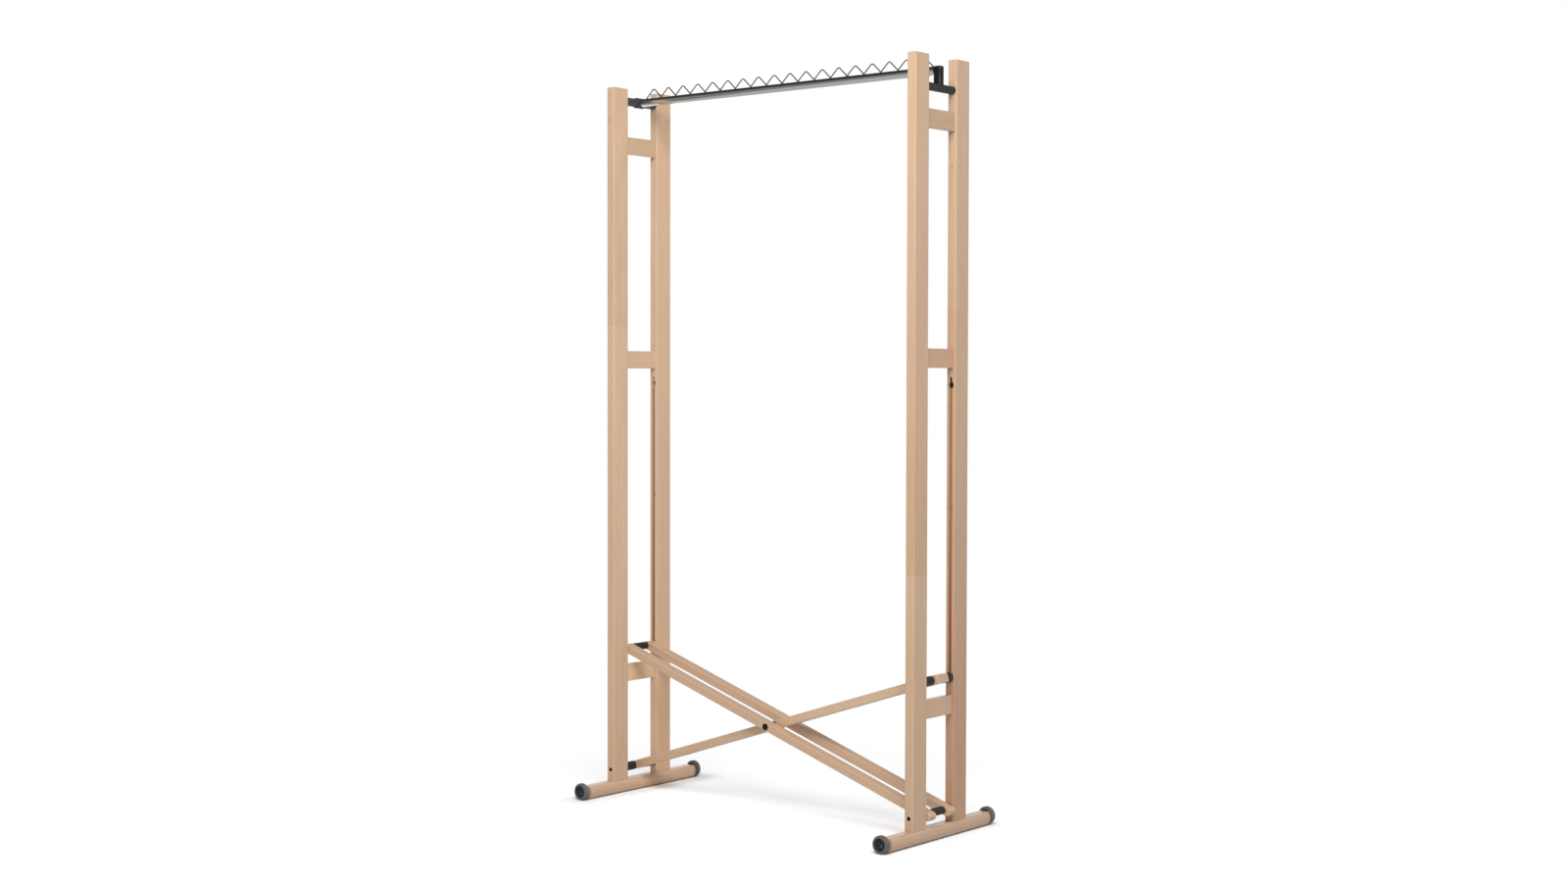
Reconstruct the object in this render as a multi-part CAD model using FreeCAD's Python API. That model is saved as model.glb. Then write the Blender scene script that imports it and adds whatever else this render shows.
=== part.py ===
"""Folding clothes rack: two ladder frames on rollers, a crossing pair of braces and a hanging rail.

Millimetres. +X runs from the left frame to the right frame, +Y from front to rear, +Z up. The origin
is on the floor, midway between the frames. The rack is modelled open, as it stands in use.
"""

import FreeCAD
import Part
import math
import os

# Stance
FRAME_PITCH = 932.0
FOLDED_PITCH = 94.0
POST_TOP = 1780.0

# Posts
POST_THICK = 24.0
POST_WIDE = 52.0
POST_EDGE_ROUND = 2.5
POST_TOP_ROUND = 1.5

# Ladder rails
RAIL_THICK = 14.0
RAIL_TALL = 44.0
RAIL_EDGE_ROUND = 1.5
UPPER_RAIL_BELOW_TOP = 120.0
MIDDLE_RAIL_ABOVE_KEYHOLE = 20.5
LOWER_RAIL_BELOW_SLIDER = 40.0

# Foot bars
FOOT_LENGTH = 401.0
FOOT_BOTTOM = 3.0
FOOT_TALL = 30.0
FOOT_BULGE = 6.0
FOOT_EDGE_ROUND = 4.0
FOOT_END_ROUND = 2.5

# Rollers
TYRE_RADIUS = 21.0
TYRE_INNER_RADIUS = 15.0
TYRE_WIDE = 14.0
TYRE_SHOULDER = 4.0
HUB_RIM = 2.5
HUB_DISH = 4.5
HUB_CONE = 1.5
ROLLER_PLAY = 0.4
AXLE_RADIUS = 3.0
AXLE_THREAD_RADIUS = 2.3
AXLE_THREAD_LENGTH = 28.0
AXLE_HEAD_RADIUS = 5.5
AXLE_HEAD_TALL = 2.4
AXLE_SOCKET_WIDE = 4.0
AXLE_SOCKET_DEEP = 2.2

# Dowels
RAIL_DOWEL_RADIUS = 4.0
RAIL_DOWEL_DEPTH = 20.0
RAIL_DOWEL_PITCH = 24.0
POST_DOWEL_RADIUS = 5.0
POST_DOWEL_IN_FOOT = 18.0
POST_DOWEL_BELOW_BOLT = 7.0
POST_DOWEL_PITCH = 26.0

# Braces
PIVOT_ABOVE_FOOT = 29.0
OPEN_RISE = 303.0
WIDE_BAR_WIDE = 42.0
WIDE_BAR_TALL = 21.0
TWIN_BAR_WIDE = 27.0
TWIN_BAR_TALL = 20.0
SQUARE_END_REACH = 20.0
WIDE_END_CORNER = 3.0
TWIN_END_CORNER = 8.0
CENTRE_GAP = 4.0
POST_GAP = 1.0
BRACE_EDGE_ROUND = 2.5
SLEEVE_RADIUS = 11.0
SLEEVE_CHAMFER = 0.8
SLEEVE_PLAY = 0.3
SPACER_RADIUS = 9.25
WASHER_RADIUS = 10.5
WASHER_PLAY = 0.1

# Pivot bolts, slider rods and the grooves that guide them
PIN_RADIUS = 4.0
BOLT_HEAD_RIM = 1.0
BOLT_HEAD_DEEP = 4.0
NUT_DEEP = 16.0
HEAD_RECESS = 0.4
KEY_SOCKET_WIDE = 5.0
KEY_SOCKET_DEEP = 2.4
CENTRE_HEAD_RADIUS = 8.0
CENTRE_HEAD_TALL = 3.2
ROD_REACH = 7.5
ROD_TIP_PLAY = 0.5
GROOVE_SIDE_PLAY = 0.3
KEYHOLE_RADIUS = 6.2
KEYHOLE_DEEP = 14.0
KEYHOLE_SLOT_RADIUS = 3.3
KEYHOLE_SLOT_RISE = 15.2
DETENT_RADIUS = 8.0
DETENT_DEEP = 1.5
HALF_OPEN_PITCH = 696.4

# Crossbars and hanging rail
LEFT_CROSSBAR_RADIUS = 10.5
RIGHT_CROSSBAR_RADIUS = 9.4
CROSSBAR_SOCKET = 10.0
RAIL_AXIS_BELOW_TOP = 30.0
HOOK_DROP = 40.0
TUBE_RADIUS = 10.0
TUBE_WALL = 1.2
PLUG_LENGTH = 30.0
KNUCKLE_WALL = 2.5
KNUCKLE_RING_WIDE = 8.5
KNUCKLE_RING_GAP = 7.5
KNUCKLE_COLLAR = 0.5
HOOK_INNER = 10.0
HOOK_OUTER = 8.5
HOOK_WIDE = 17.0
HOOK_LIP = 4.5
HOOK_ROUND = 3.0
HOOK_PLAY = 0.3
RAIL_SCREW_RADIUS = 1.6
RAIL_SCREW_HEAD_RADIUS = 3.0
RAIL_SCREW_HEAD_TALL = 1.4
RAIL_SCREW_INSET = 17.9
RAIL_SCREW_SLOT_LONG = 3.4
RAIL_SCREW_SLOT_WIDE = 0.8
RAIL_SCREW_SLOT_DEEP = 1.0
RAIL_SCREW_LENGTH = 9.0

# Zigzag hanger wire
WIRE_RADIUS = 1.5
WIRE_TOOTH_PITCH = 49.4
WIRE_PEAK_ABOVE_TUBE = 22.8
WIRE_PEAK_BEND = 6.7
WIRE_VALLEY_BEND = 3.0
WIRE_LEFT_INSET = 37.5
WIRE_RIGHT_INSET = 31.2

# Clearance between pieces that fit into one another, and the tolerance for picking edges
FIT = 0.05
EDGE_TOLERANCE = 1e-4

# Worked out from the sizes above
LEFT = -FRAME_PITCH / 2
RIGHT = FRAME_PITCH / 2
TWIN_INNER = WIDE_BAR_WIDE / 2 + CENTRE_GAP
TWIN_OUTER = TWIN_INNER + TWIN_BAR_WIDE
POST_INNER = TWIN_OUTER + POST_GAP
POST_OUTER = POST_INNER + POST_WIDE
POST_MIDDLE = POST_INNER + POST_WIDE / 2
FOOT_TOP = FOOT_BOTTOM + FOOT_TALL
ROLLER_Y = FOOT_LENGTH / 2 + ROLLER_PLAY + TYRE_WIDE / 2
PIVOT_HEIGHT = FOOT_TOP + PIVOT_ABOVE_FOOT
SLIDER_OPEN_HEIGHT = PIVOT_HEIGHT + OPEN_RISE
BRACE_LENGTH = math.hypot(FRAME_PITCH, OPEN_RISE)
BRACE_ANGLE = math.atan2(OPEN_RISE, FRAME_PITCH)
PIN_BORE = PIN_RADIUS + FIT
BOLT_HEAD_RADIUS = PIN_RADIUS + BOLT_HEAD_RIM
POST_DOWEL_TOP = PIVOT_HEIGHT - PIN_RADIUS - POST_DOWEL_BELOW_BOLT
GROOVE_RADIUS = PIN_RADIUS + GROOVE_SIDE_PLAY
GROOVE_DEEP = ROD_REACH + ROD_TIP_PLAY
RAIL_AXIS = POST_TOP - RAIL_AXIS_BELOW_TOP
TUBE_START = LEFT + LEFT_CROSSBAR_RADIUS + KNUCKLE_WALL + KNUCKLE_COLLAR
TUBE_END = RIGHT - HOOK_INNER
TUBE_BORE = TUBE_RADIUS - TUBE_WALL
PLUG_RADIUS = TUBE_BORE - FIT


def slider_height(pitch):
    """Height of the sliding brace ends when the frames stand this far apart."""
    return PIVOT_HEIGHT + math.sqrt(BRACE_LENGTH ** 2 - pitch ** 2)


KEYHOLE_HEIGHT = slider_height(FOLDED_PITCH)
HALF_OPEN_HEIGHT = slider_height(HALF_OPEN_PITCH)
KEYHOLE_TOP = KEYHOLE_HEIGHT + KEYHOLE_SLOT_RISE + KEYHOLE_SLOT_RADIUS
UPPER_RAIL_TOP = POST_TOP - UPPER_RAIL_BELOW_TOP
MIDDLE_RAIL_TOP = KEYHOLE_TOP + MIDDLE_RAIL_ABOVE_KEYHOLE + RAIL_TALL
LOWER_RAIL_TOP = SLIDER_OPEN_HEIGHT - LOWER_RAIL_BELOW_SLIDER
RAIL_TOPS = {"upper": UPPER_RAIL_TOP, "middle": MIDDLE_RAIL_TOP, "lower": LOWER_RAIL_TOP}

FRAMES = {"left": LEFT, "right": RIGHT}
CROSSBAR_HEIGHTS = {"left": RAIL_AXIS, "right": RAIL_AXIS - HOOK_DROP}
CROSSBAR_RADII = {"left": LEFT_CROSSBAR_RADIUS, "right": RIGHT_CROSSBAR_RADIUS}
ENDS = ("front", "rear")

X_AXIS = FreeCAD.Vector(1, 0, 0)
Y_AXIS = FreeCAD.Vector(0, 1, 0)
Z_AXIS = FreeCAD.Vector(0, 0, 1)


def point(x, y, z):
    """A point in the part's frame."""
    return FreeCAD.Vector(x, y, z)


def block(x_span, y_span, z_span):
    """A box between pairs of low and high coordinates."""
    size = [span[1] - span[0] for span in (x_span, y_span, z_span)]
    return Part.makeBox(size[0], size[1], size[2], point(x_span[0], y_span[0], z_span[0]))


def rod_y(radius, x, z, y_from, y_to):
    """A round rod along Y."""
    return Part.makeCylinder(radius, y_to - y_from, point(x, y_from, z), Y_AXIS)


def rod_x(radius, y, z, x_from, x_to):
    """A round rod along X."""
    return Part.makeCylinder(radius, x_to - x_from, point(x_from, y, z), X_AXIS)


def rod_z(radius, x, y, z_from, z_to):
    """A round rod along Z."""
    return Part.makeCylinder(radius, z_to - z_from, point(x, y, z_from), Z_AXIS)


def mirrored_in_y(shape):
    """The same shape on the other side of the rack's middle."""
    return shape.mirror(point(0, 0, 0), Y_AXIS)


def pair_in_y(shape):
    """A group of the shape and its mirror image, front and rear."""
    return Part.makeCompound([shape, mirrored_in_y(shape)])


def edges_along(shape, axis):
    """The straight edges of a shape that run along an axis."""
    found = []
    for edge in shape.Edges:
        span = edge.Vertexes[-1].Point.sub(edge.Vertexes[0].Point)
        if span.Length > 0 and abs(abs(span.dot(axis)) - span.Length) < EDGE_TOLERANCE:
            found.append(edge)
    return found


def edges_at_y(shape, y):
    """The edges of a shape that lie in one plane across Y."""
    return [
        edge
        for edge in shape.Edges
        if max(abs(edge.BoundBox.YMin - y), abs(edge.BoundBox.YMax - y)) < EDGE_TOLERANCE
    ]


def edges_at_z(shape, z):
    """The edges of a shape that lie in one level plane."""
    return [
        edge
        for edge in shape.Edges
        if max(abs(edge.BoundBox.ZMin - z), abs(edge.BoundBox.ZMax - z)) < EDGE_TOLERANCE
    ]


def washer(outer, inner, x, z, y_from, y_to):
    """A flat ring across Y."""
    return rod_y(outer, x, z, y_from, y_to).cut(rod_y(inner, x, z, y_from, y_to))


def slot_y(radius, x, z_low, z_high, y_from, y_to):
    """A round-ended slot, upright, cut along Y."""
    body = block((x - radius, x + radius), (y_from, y_to), (z_low, z_high))
    low_end = rod_y(radius, x, z_low, y_from, y_to)
    high_end = rod_y(radius, x, z_high, y_from, y_to)
    return body.multiFuse([low_end, high_end]).removeSplitter()


def groove_cutter(x):
    """What is milled out of a rear post's inner face: groove, keyhole and the shallow detent rings."""
    face = POST_INNER
    groove = slot_y(GROOVE_RADIUS, x, SLIDER_OPEN_HEIGHT, KEYHOLE_HEIGHT, face, face + GROOVE_DEEP)
    hole = rod_y(KEYHOLE_RADIUS, x, KEYHOLE_HEIGHT, face, face + KEYHOLE_DEEP)
    slot_top = KEYHOLE_HEIGHT + KEYHOLE_SLOT_RISE
    slot = slot_y(KEYHOLE_SLOT_RADIUS, x, KEYHOLE_HEIGHT, slot_top, face, face + KEYHOLE_DEEP)
    rings = [
        rod_y(DETENT_RADIUS, x, height, face, face + DETENT_DEEP)
        for height in (HALF_OPEN_HEIGHT, KEYHOLE_HEIGHT)
    ]
    return groove.multiFuse([hole, slot] + rings)


def rail_dowel_rods(x, radius, y_from, y_to):
    """Rods on the axes of the rail dowels at one rear post, two for each rail."""
    rods = []
    for top in RAIL_TOPS.values():
        middle = top - RAIL_TALL / 2
        for step in (-RAIL_DOWEL_PITCH / 2, RAIL_DOWEL_PITCH / 2):
            rods.append(rod_y(radius, x, middle + step, y_from, y_to))
    return rods


def post_dowel_rods(x, radius, z_from, z_to):
    """Rods on the axes of the dowels that hold a rear post to its foot bar."""
    rods = []
    for step in (-POST_DOWEL_PITCH / 2, POST_DOWEL_PITCH / 2):
        rods.append(rod_z(radius, x, POST_MIDDLE + step, z_from, z_to))
    return rods


def post_dowel_bores(x):
    """The bores for those dowels, in the post and in the foot bar together."""
    return post_dowel_rods(x, POST_DOWEL_RADIUS + FIT, FOOT_TOP - POST_DOWEL_IN_FOOT, POST_DOWEL_TOP)


def blank_post(x):
    """A rear post before any joinery: rounded long edges and a softened top."""
    x_span = (x - POST_THICK / 2, x + POST_THICK / 2)
    blank = block(x_span, (POST_INNER, POST_OUTER), (FOOT_TOP, POST_TOP))
    blank = blank.makeFillet(POST_EDGE_ROUND, edges_along(blank, Z_AXIS))
    return blank.makeFillet(POST_TOP_ROUND, edges_at_z(blank, POST_TOP))


def post(side, end):
    """One upright post with its groove, sockets and bolt hole."""
    x = FRAMES[side]
    shape = blank_post(x)
    socket_floor = POST_INNER + CROSSBAR_SOCKET
    cuts = [groove_cutter(x)]
    socket_radius = CROSSBAR_RADII[side] + FIT
    cuts.append(rod_y(socket_radius, x, CROSSBAR_HEIGHTS[side], POST_INNER, socket_floor))
    cuts += rail_dowel_rods(x, RAIL_DOWEL_RADIUS + FIT, POST_INNER, POST_INNER + RAIL_DOWEL_DEPTH)
    cuts += post_dowel_bores(x)
    cuts.append(rod_y(PIN_BORE, x, PIVOT_HEIGHT, POST_INNER, POST_OUTER))
    head_deep = BOLT_HEAD_DEEP + HEAD_RECESS if end == "front" else NUT_DEEP + HEAD_RECESS
    cuts.append(rod_y(BOLT_HEAD_RADIUS + FIT, x, PIVOT_HEIGHT, POST_OUTER - head_deep, POST_OUTER))
    for cutter in cuts:
        shape = shape.cut(cutter)
    return shape if end == "rear" else mirrored_in_y(shape)


def ladder_rail(side, level):
    """One cross rail between the posts, bored for its dowels."""
    x = FRAMES[side]
    top = RAIL_TOPS[level]
    x_span = (x - RAIL_THICK / 2, x + RAIL_THICK / 2)
    shape = block(x_span, (-POST_INNER, POST_INNER), (top - RAIL_TALL, top))
    shape = shape.makeFillet(RAIL_EDGE_ROUND, edges_along(shape, Y_AXIS))
    bores = rail_dowel_rods(x, RAIL_DOWEL_RADIUS + FIT, POST_INNER - RAIL_DOWEL_DEPTH, POST_INNER)
    for bore in bores:
        shape = shape.cut(bore).cut(mirrored_in_y(bore))
    return shape


def rail_dowels(side):
    """The hidden dowels of one frame's rails."""
    reach = RAIL_DOWEL_DEPTH - FIT
    rods = rail_dowel_rods(FRAMES[side], RAIL_DOWEL_RADIUS, POST_INNER - reach, POST_INNER + reach)
    return Part.makeCompound(rods + [mirrored_in_y(rod) for rod in rods])


def post_dowels(side):
    """The hidden dowels between one frame's posts and its foot bar."""
    low = FOOT_TOP - POST_DOWEL_IN_FOOT + FIT
    rods = post_dowel_rods(FRAMES[side], POST_DOWEL_RADIUS, low, POST_DOWEL_TOP - FIT)
    return Part.makeCompound(rods + [mirrored_in_y(rod) for rod in rods])


def foot(side):
    """A foot bar: flat top and underside as wide as the posts, with bulging sides."""
    x = FRAMES[side]
    flat = POST_THICK / 2
    bulge = flat + FOOT_BULGE
    middle = FOOT_BOTTOM + FOOT_TALL / 2
    start = -FOOT_LENGTH / 2
    right_top = point(x + flat, start, FOOT_TOP)
    right_bottom = point(x + flat, start, FOOT_BOTTOM)
    left_top = point(x - flat, start, FOOT_TOP)
    left_bottom = point(x - flat, start, FOOT_BOTTOM)
    outline = Part.Wire([
        Part.LineSegment(left_top, right_top).toShape(),
        Part.Arc(right_top, point(x + bulge, start, middle), right_bottom).toShape(),
        Part.LineSegment(right_bottom, left_bottom).toShape(),
        Part.Arc(left_bottom, point(x - bulge, start, middle), left_top).toShape(),
    ])
    shape = Part.Face(outline).extrude(point(0, FOOT_LENGTH, 0))
    shape = shape.makeFillet(FOOT_EDGE_ROUND, edges_along(shape, Y_AXIS))
    ends = edges_at_y(shape, -FOOT_LENGTH / 2) + edges_at_y(shape, FOOT_LENGTH / 2)
    shape = shape.makeFillet(FOOT_END_ROUND, ends)
    cuts = post_dowel_bores(x)
    thread_end = FOOT_LENGTH / 2 - AXLE_THREAD_LENGTH
    cuts.append(rod_y(AXLE_THREAD_RADIUS + FIT, x, TYRE_RADIUS, thread_end, FOOT_LENGTH / 2))
    for cutter in cuts:
        shape = shape.cut(cutter).cut(mirrored_in_y(cutter))
    return shape


def key_socket(x, z, mouth, wide, deep):
    """A six-sided socket for a key, sunk along Y from its mouth; a negative depth sinks it forward."""
    reach = wide / math.sqrt(3)
    turns = [math.pi / 3 * corner for corner in range(7)]
    outline = [point(x + reach * math.sin(turn), mouth, z + reach * math.cos(turn)) for turn in turns]
    return Part.Face(Part.makePolygon(outline)).extrude(point(0, deep, 0))


def crossbar(side):
    """The round black bar that joins the tops of two posts, let into sockets."""
    reach = POST_INNER + CROSSBAR_SOCKET - FIT
    return rod_y(CROSSBAR_RADII[side], FRAMES[side], CROSSBAR_HEIGHTS[side], -reach, reach)


def pivot_bolt(side):
    """The long bolt through both posts that the brace's lower end turns on."""
    x = FRAMES[side]
    face = -POST_OUTER + HEAD_RECESS
    head = rod_y(BOLT_HEAD_RADIUS, x, PIVOT_HEIGHT, face, face + BOLT_HEAD_DEEP)
    tip = POST_OUTER - HEAD_RECESS - BOLT_HEAD_DEEP
    shape = head.fuse(rod_y(PIN_RADIUS, x, PIVOT_HEIGHT, face, tip)).removeSplitter()
    return shape.cut(key_socket(x, PIVOT_HEIGHT, face, KEY_SOCKET_WIDE, KEY_SOCKET_DEEP))


def pivot_nut(side):
    """The sleeve nut let into the rear post, closed at its outer end."""
    x = FRAMES[side]
    face = POST_OUTER - HEAD_RECESS
    body = rod_y(BOLT_HEAD_RADIUS, x, PIVOT_HEIGHT, face - NUT_DEEP, face)
    body = body.cut(rod_y(PIN_BORE, x, PIVOT_HEIGHT, face - NUT_DEEP, face - BOLT_HEAD_DEEP))
    return body.cut(key_socket(x, PIVOT_HEIGHT, face, KEY_SOCKET_WIDE, -KEY_SOCKET_DEEP))


def turned_about_y(outline, x, z):
    """A solid of revolution about a line along Y, from (radius, y) corners."""
    corners = [point(x + radius, y, z) for radius, y in outline]
    face = Part.Face(Part.makePolygon(corners + [corners[0]]))
    return face.revolve(point(x, 0, z), Y_AXIS, 360)


def axle_screws(side):
    """The shouldered screws that the rollers turn on, one in each end of the foot bar."""
    x = FRAMES[side]
    inner = FOOT_LENGTH / 2
    seat = ROLLER_Y + TYRE_WIDE / 2 - HUB_DISH + ROLLER_PLAY
    shoulder = rod_y(AXLE_RADIUS, x, TYRE_RADIUS, inner, seat)
    thread_end = inner - AXLE_THREAD_LENGTH + FIT
    thread = rod_y(AXLE_THREAD_RADIUS, x, TYRE_RADIUS, thread_end, inner)
    head = rod_y(AXLE_HEAD_RADIUS, x, TYRE_RADIUS, seat, seat + AXLE_HEAD_TALL)
    head = head.makeFillet(AXLE_HEAD_TALL / 2, edges_at_y(head, seat + AXLE_HEAD_TALL))
    shape = shoulder.multiFuse([thread, head]).removeSplitter()
    socket = key_socket(x, TYRE_RADIUS, seat + AXLE_HEAD_TALL, AXLE_SOCKET_WIDE, -AXLE_SOCKET_DEEP)
    return pair_in_y(shape.cut(socket))


def tyre(side, end):
    """The soft ring of a roller, rounded at its shoulders."""
    x = FRAMES[side]
    low = ROLLER_Y - TYRE_WIDE / 2
    high = ROLLER_Y + TYRE_WIDE / 2
    shape = washer(TYRE_RADIUS, TYRE_INNER_RADIUS, x, TYRE_RADIUS, low, high)
    rims = [
        edge
        for edge in edges_at_y(shape, low) + edges_at_y(shape, high)
        if edge.BoundBox.XLength > 2 * TYRE_INNER_RADIUS + FIT
    ]
    shape = shape.makeFillet(TYRE_SHOULDER, rims)
    return shape if end == "rear" else mirrored_in_y(shape)


def hub(side, end):
    """The hard core of a roller: a dished outer face and a running bore."""
    x = FRAMES[side]
    inner = ROLLER_Y - TYRE_WIDE / 2
    outer = ROLLER_Y + TYRE_WIDE / 2
    rim = TYRE_INNER_RADIUS - HUB_RIM
    bore = AXLE_RADIUS + FIT
    outline = [
        (bore, inner),
        (TYRE_INNER_RADIUS - FIT, inner),
        (TYRE_INNER_RADIUS - FIT, outer - HUB_CONE),
        (rim, outer - HUB_CONE),
        (rim - HUB_CONE, outer - HUB_DISH),
        (bore, outer - HUB_DISH),
    ]
    shape = turned_about_y(outline, x, TYRE_RADIUS)
    return shape if end == "rear" else mirrored_in_y(shape)


class Brace:
    """Places along one brace: u runs from its lower pivot to its sliding end, v is square to it."""

    def __init__(self, pivot_x, heading):
        self.pivot_x = pivot_x
        self.heading = heading

    def at(self, u, v, y):
        """The point at u along the brace and v above its axis, at depth y."""
        run = u * math.cos(BRACE_ANGLE) - v * math.sin(BRACE_ANGLE)
        rise = u * math.sin(BRACE_ANGLE) + v * math.cos(BRACE_ANGLE)
        return point(self.pivot_x + self.heading * run, y, PIVOT_HEIGHT + rise)

    def rod(self, radius, u, y_from, y_to):
        """A rod along Y through the brace's axis at u."""
        centre = self.at(u, 0, 0)
        return rod_y(radius, centre.x, centre.z, y_from, y_to)

    def corner_arc(self, u, v, turn_u, turn_v, radius, y):
        """The arc that rounds an outside corner of the bar's outline, as its three points."""
        slant = radius * (1 - math.sqrt(0.5))
        along = self.at(u - turn_u * radius, v, y)
        middle = self.at(u - turn_u * slant, v - turn_v * slant, y)
        across = self.at(u, v - turn_v * radius, y)
        return along, middle, across

    def bar(self, tall, lower, upper, y_from, y_to):
        """A bar between two depths; lower and upper give each end's (reach past its axis, corner round)."""
        half = tall / 2
        lower_reach, lower_corner = lower
        upper_reach, upper_corner = upper
        top = BRACE_LENGTH + upper_reach
        corners = [
            self.corner_arc(top, half, 1, 1, upper_corner, y_from),
            self.corner_arc(top, -half, 1, -1, upper_corner, y_from)[::-1],
            self.corner_arc(-lower_reach, -half, -1, -1, lower_corner, y_from),
            self.corner_arc(-lower_reach, half, -1, 1, lower_corner, y_from)[::-1],
        ]
        edges = []
        here = corners[-1][2]
        for arc_from, arc_middle, arc_to in corners:
            if arc_from.distanceToPoint(here) > FIT:
                edges.append(Part.LineSegment(here, arc_from).toShape())
            edges.append(Part.Arc(arc_from, arc_middle, arc_to).toShape())
            here = arc_to
        shape = Part.Face(Part.Wire(edges)).extrude(point(0, y_to - y_from, 0))
        faces = edges_at_y(shape, y_from) + edges_at_y(shape, y_to)
        return shape.makeFillet(BRACE_EDGE_ROUND, faces)


WIDE_BRACE = Brace(LEFT, 1)
TWIN_BRACE = Brace(RIGHT, -1)


def wide_bar():
    """The single wide brace bar with its three bores: round below, square-ended above."""
    half = WIDE_BAR_WIDE / 2
    round_end = (WIDE_BAR_TALL / 2, WIDE_BAR_TALL / 2)
    square_end = (SQUARE_END_REACH, WIDE_END_CORNER)
    shape = WIDE_BRACE.bar(WIDE_BAR_TALL, round_end, square_end, -half, half)
    for u in (0, BRACE_LENGTH / 2, BRACE_LENGTH):
        shape = shape.cut(WIDE_BRACE.rod(PIN_BORE, u, -half, half))
    return shape


def sleeves(u):
    """The pair of black sleeves that keep the wide bar midway between the posts."""
    start = WIDE_BAR_WIDE / 2
    end = POST_INNER - SLEEVE_PLAY
    shape = WIDE_BRACE.rod(SLEEVE_RADIUS, u, start, end)
    shape = shape.makeChamfer(SLEEVE_CHAMFER, edges_at_y(shape, start) + edges_at_y(shape, end))
    return pair_in_y(shape.cut(WIDE_BRACE.rod(PIN_BORE, u, start, end)))


def slider_rod(brace):
    """A steel rod through a brace's sliding end, with its tips in the posts' grooves."""
    reach = POST_INNER + ROD_REACH
    shape = brace.rod(PIN_RADIUS, BRACE_LENGTH, -reach, reach)
    tips = edges_at_y(shape, -reach) + edges_at_y(shape, reach)
    return shape.makeChamfer(SLEEVE_CHAMFER, tips)


def twin_bar(end):
    """One of the two narrow brace bars, with its three bores: square-ended below, round above."""
    square_end = (SQUARE_END_REACH, TWIN_END_CORNER)
    round_end = (TWIN_BAR_TALL / 2, TWIN_BAR_TALL / 2)
    shape = TWIN_BRACE.bar(TWIN_BAR_TALL, square_end, round_end, TWIN_INNER, TWIN_OUTER)
    for u in (0, BRACE_LENGTH / 2, BRACE_LENGTH):
        shape = shape.cut(TWIN_BRACE.rod(PIN_BORE, u, TWIN_INNER, TWIN_OUTER))
    return shape if end == "rear" else mirrored_in_y(shape)


def spacer(u):
    """A black tube that holds the twin bars apart."""
    shape = TWIN_BRACE.rod(SPACER_RADIUS, u, -TWIN_INNER, TWIN_INNER)
    return shape.cut(TWIN_BRACE.rod(PIN_BORE, u, -TWIN_INNER, TWIN_INNER))


def brace_washers(u, gap_from, gap_to):
    """A pair of washers centred in the gaps beside the bars."""
    centre = TWIN_BRACE.at(u, 0, 0)
    near = gap_from + WASHER_PLAY
    far = gap_to - WASHER_PLAY
    return pair_in_y(washer(WASHER_RADIUS, PIN_BORE, centre.x, centre.z, near, far))


def domed_head(radius, tall, seat):
    """A low domed head on the twin brace's centre, standing rearward from its seat."""
    shape = TWIN_BRACE.rod(radius, BRACE_LENGTH / 2, seat, seat + tall)
    return shape.makeFillet(tall - SLEEVE_CHAMFER, edges_at_y(shape, seat + tall))


def centre_bolt():
    """The bolt where the braces cross, with a domed head in front."""
    head = mirrored_in_y(domed_head(CENTRE_HEAD_RADIUS, CENTRE_HEAD_TALL, TWIN_OUTER))
    shank = TWIN_BRACE.rod(PIN_RADIUS, BRACE_LENGTH / 2, -TWIN_OUTER, TWIN_OUTER)
    centre = TWIN_BRACE.at(BRACE_LENGTH / 2, 0, 0)
    mouth = -TWIN_OUTER - CENTRE_HEAD_TALL
    socket = key_socket(centre.x, centre.z, mouth, KEY_SOCKET_WIDE, KEY_SOCKET_DEEP)
    return head.fuse(shank).removeSplitter().cut(socket)


def centre_nut():
    """The domed cap at the rear end of the centre bolt."""
    return domed_head(CENTRE_HEAD_RADIUS, CENTRE_HEAD_TALL, TWIN_OUTER)


def wire_ends():
    """Where the first and last teeth of the hanger wire stand along X."""
    return TUBE_START + WIRE_LEFT_INSET, TUBE_END - WIRE_RIGHT_INSET


def wire_teeth():
    """How many teeth the zigzag has along the tube."""
    first, last = wire_ends()
    return round((last - first) / WIRE_TOOTH_PITCH) + 1


def wire_legs():
    """The zigzag's slope and its bends from end to end, as (x, z, radius) of each bend's centre."""
    first, last = wire_ends()
    half_pitch = (last - first) / (wire_teeth() - 1) / 2
    low = RAIL_AXIS + TUBE_RADIUS + WIRE_RADIUS + FIT + WIRE_VALLEY_BEND
    high = RAIL_AXIS + TUBE_RADIUS + WIRE_PEAK_ABOVE_TUBE - WIRE_RADIUS - WIRE_PEAK_BEND
    reach = math.hypot(half_pitch, high - low)
    slope = math.atan2(high - low, half_pitch) + math.asin((WIRE_PEAK_BEND + WIRE_VALLEY_BEND) / reach)
    bends = []
    for step in range(2 * wire_teeth() - 1):
        x = first + step * half_pitch
        bends.append((x, low, WIRE_VALLEY_BEND) if step % 2 else (x, high, WIRE_PEAK_BEND))
    return slope, bends


def wire_end_points():
    """Where the wire's two ends lie, each at the foot of a sloping leg let into the tube's wall."""
    slope, bends = wire_legs()
    ends = []
    for (x, z, radius), heading in ((bends[0], -1), (bends[-1], 1)):
        leg_x = x + heading * radius * math.sin(slope)
        leg_z = z + radius * math.cos(slope)
        drop = leg_z - (RAIL_AXIS + TUBE_BORE + WIRE_RADIUS * math.cos(slope))
        ends.append(point(leg_x + heading * drop / math.tan(slope), 0, leg_z - drop))
    return ends


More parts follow.
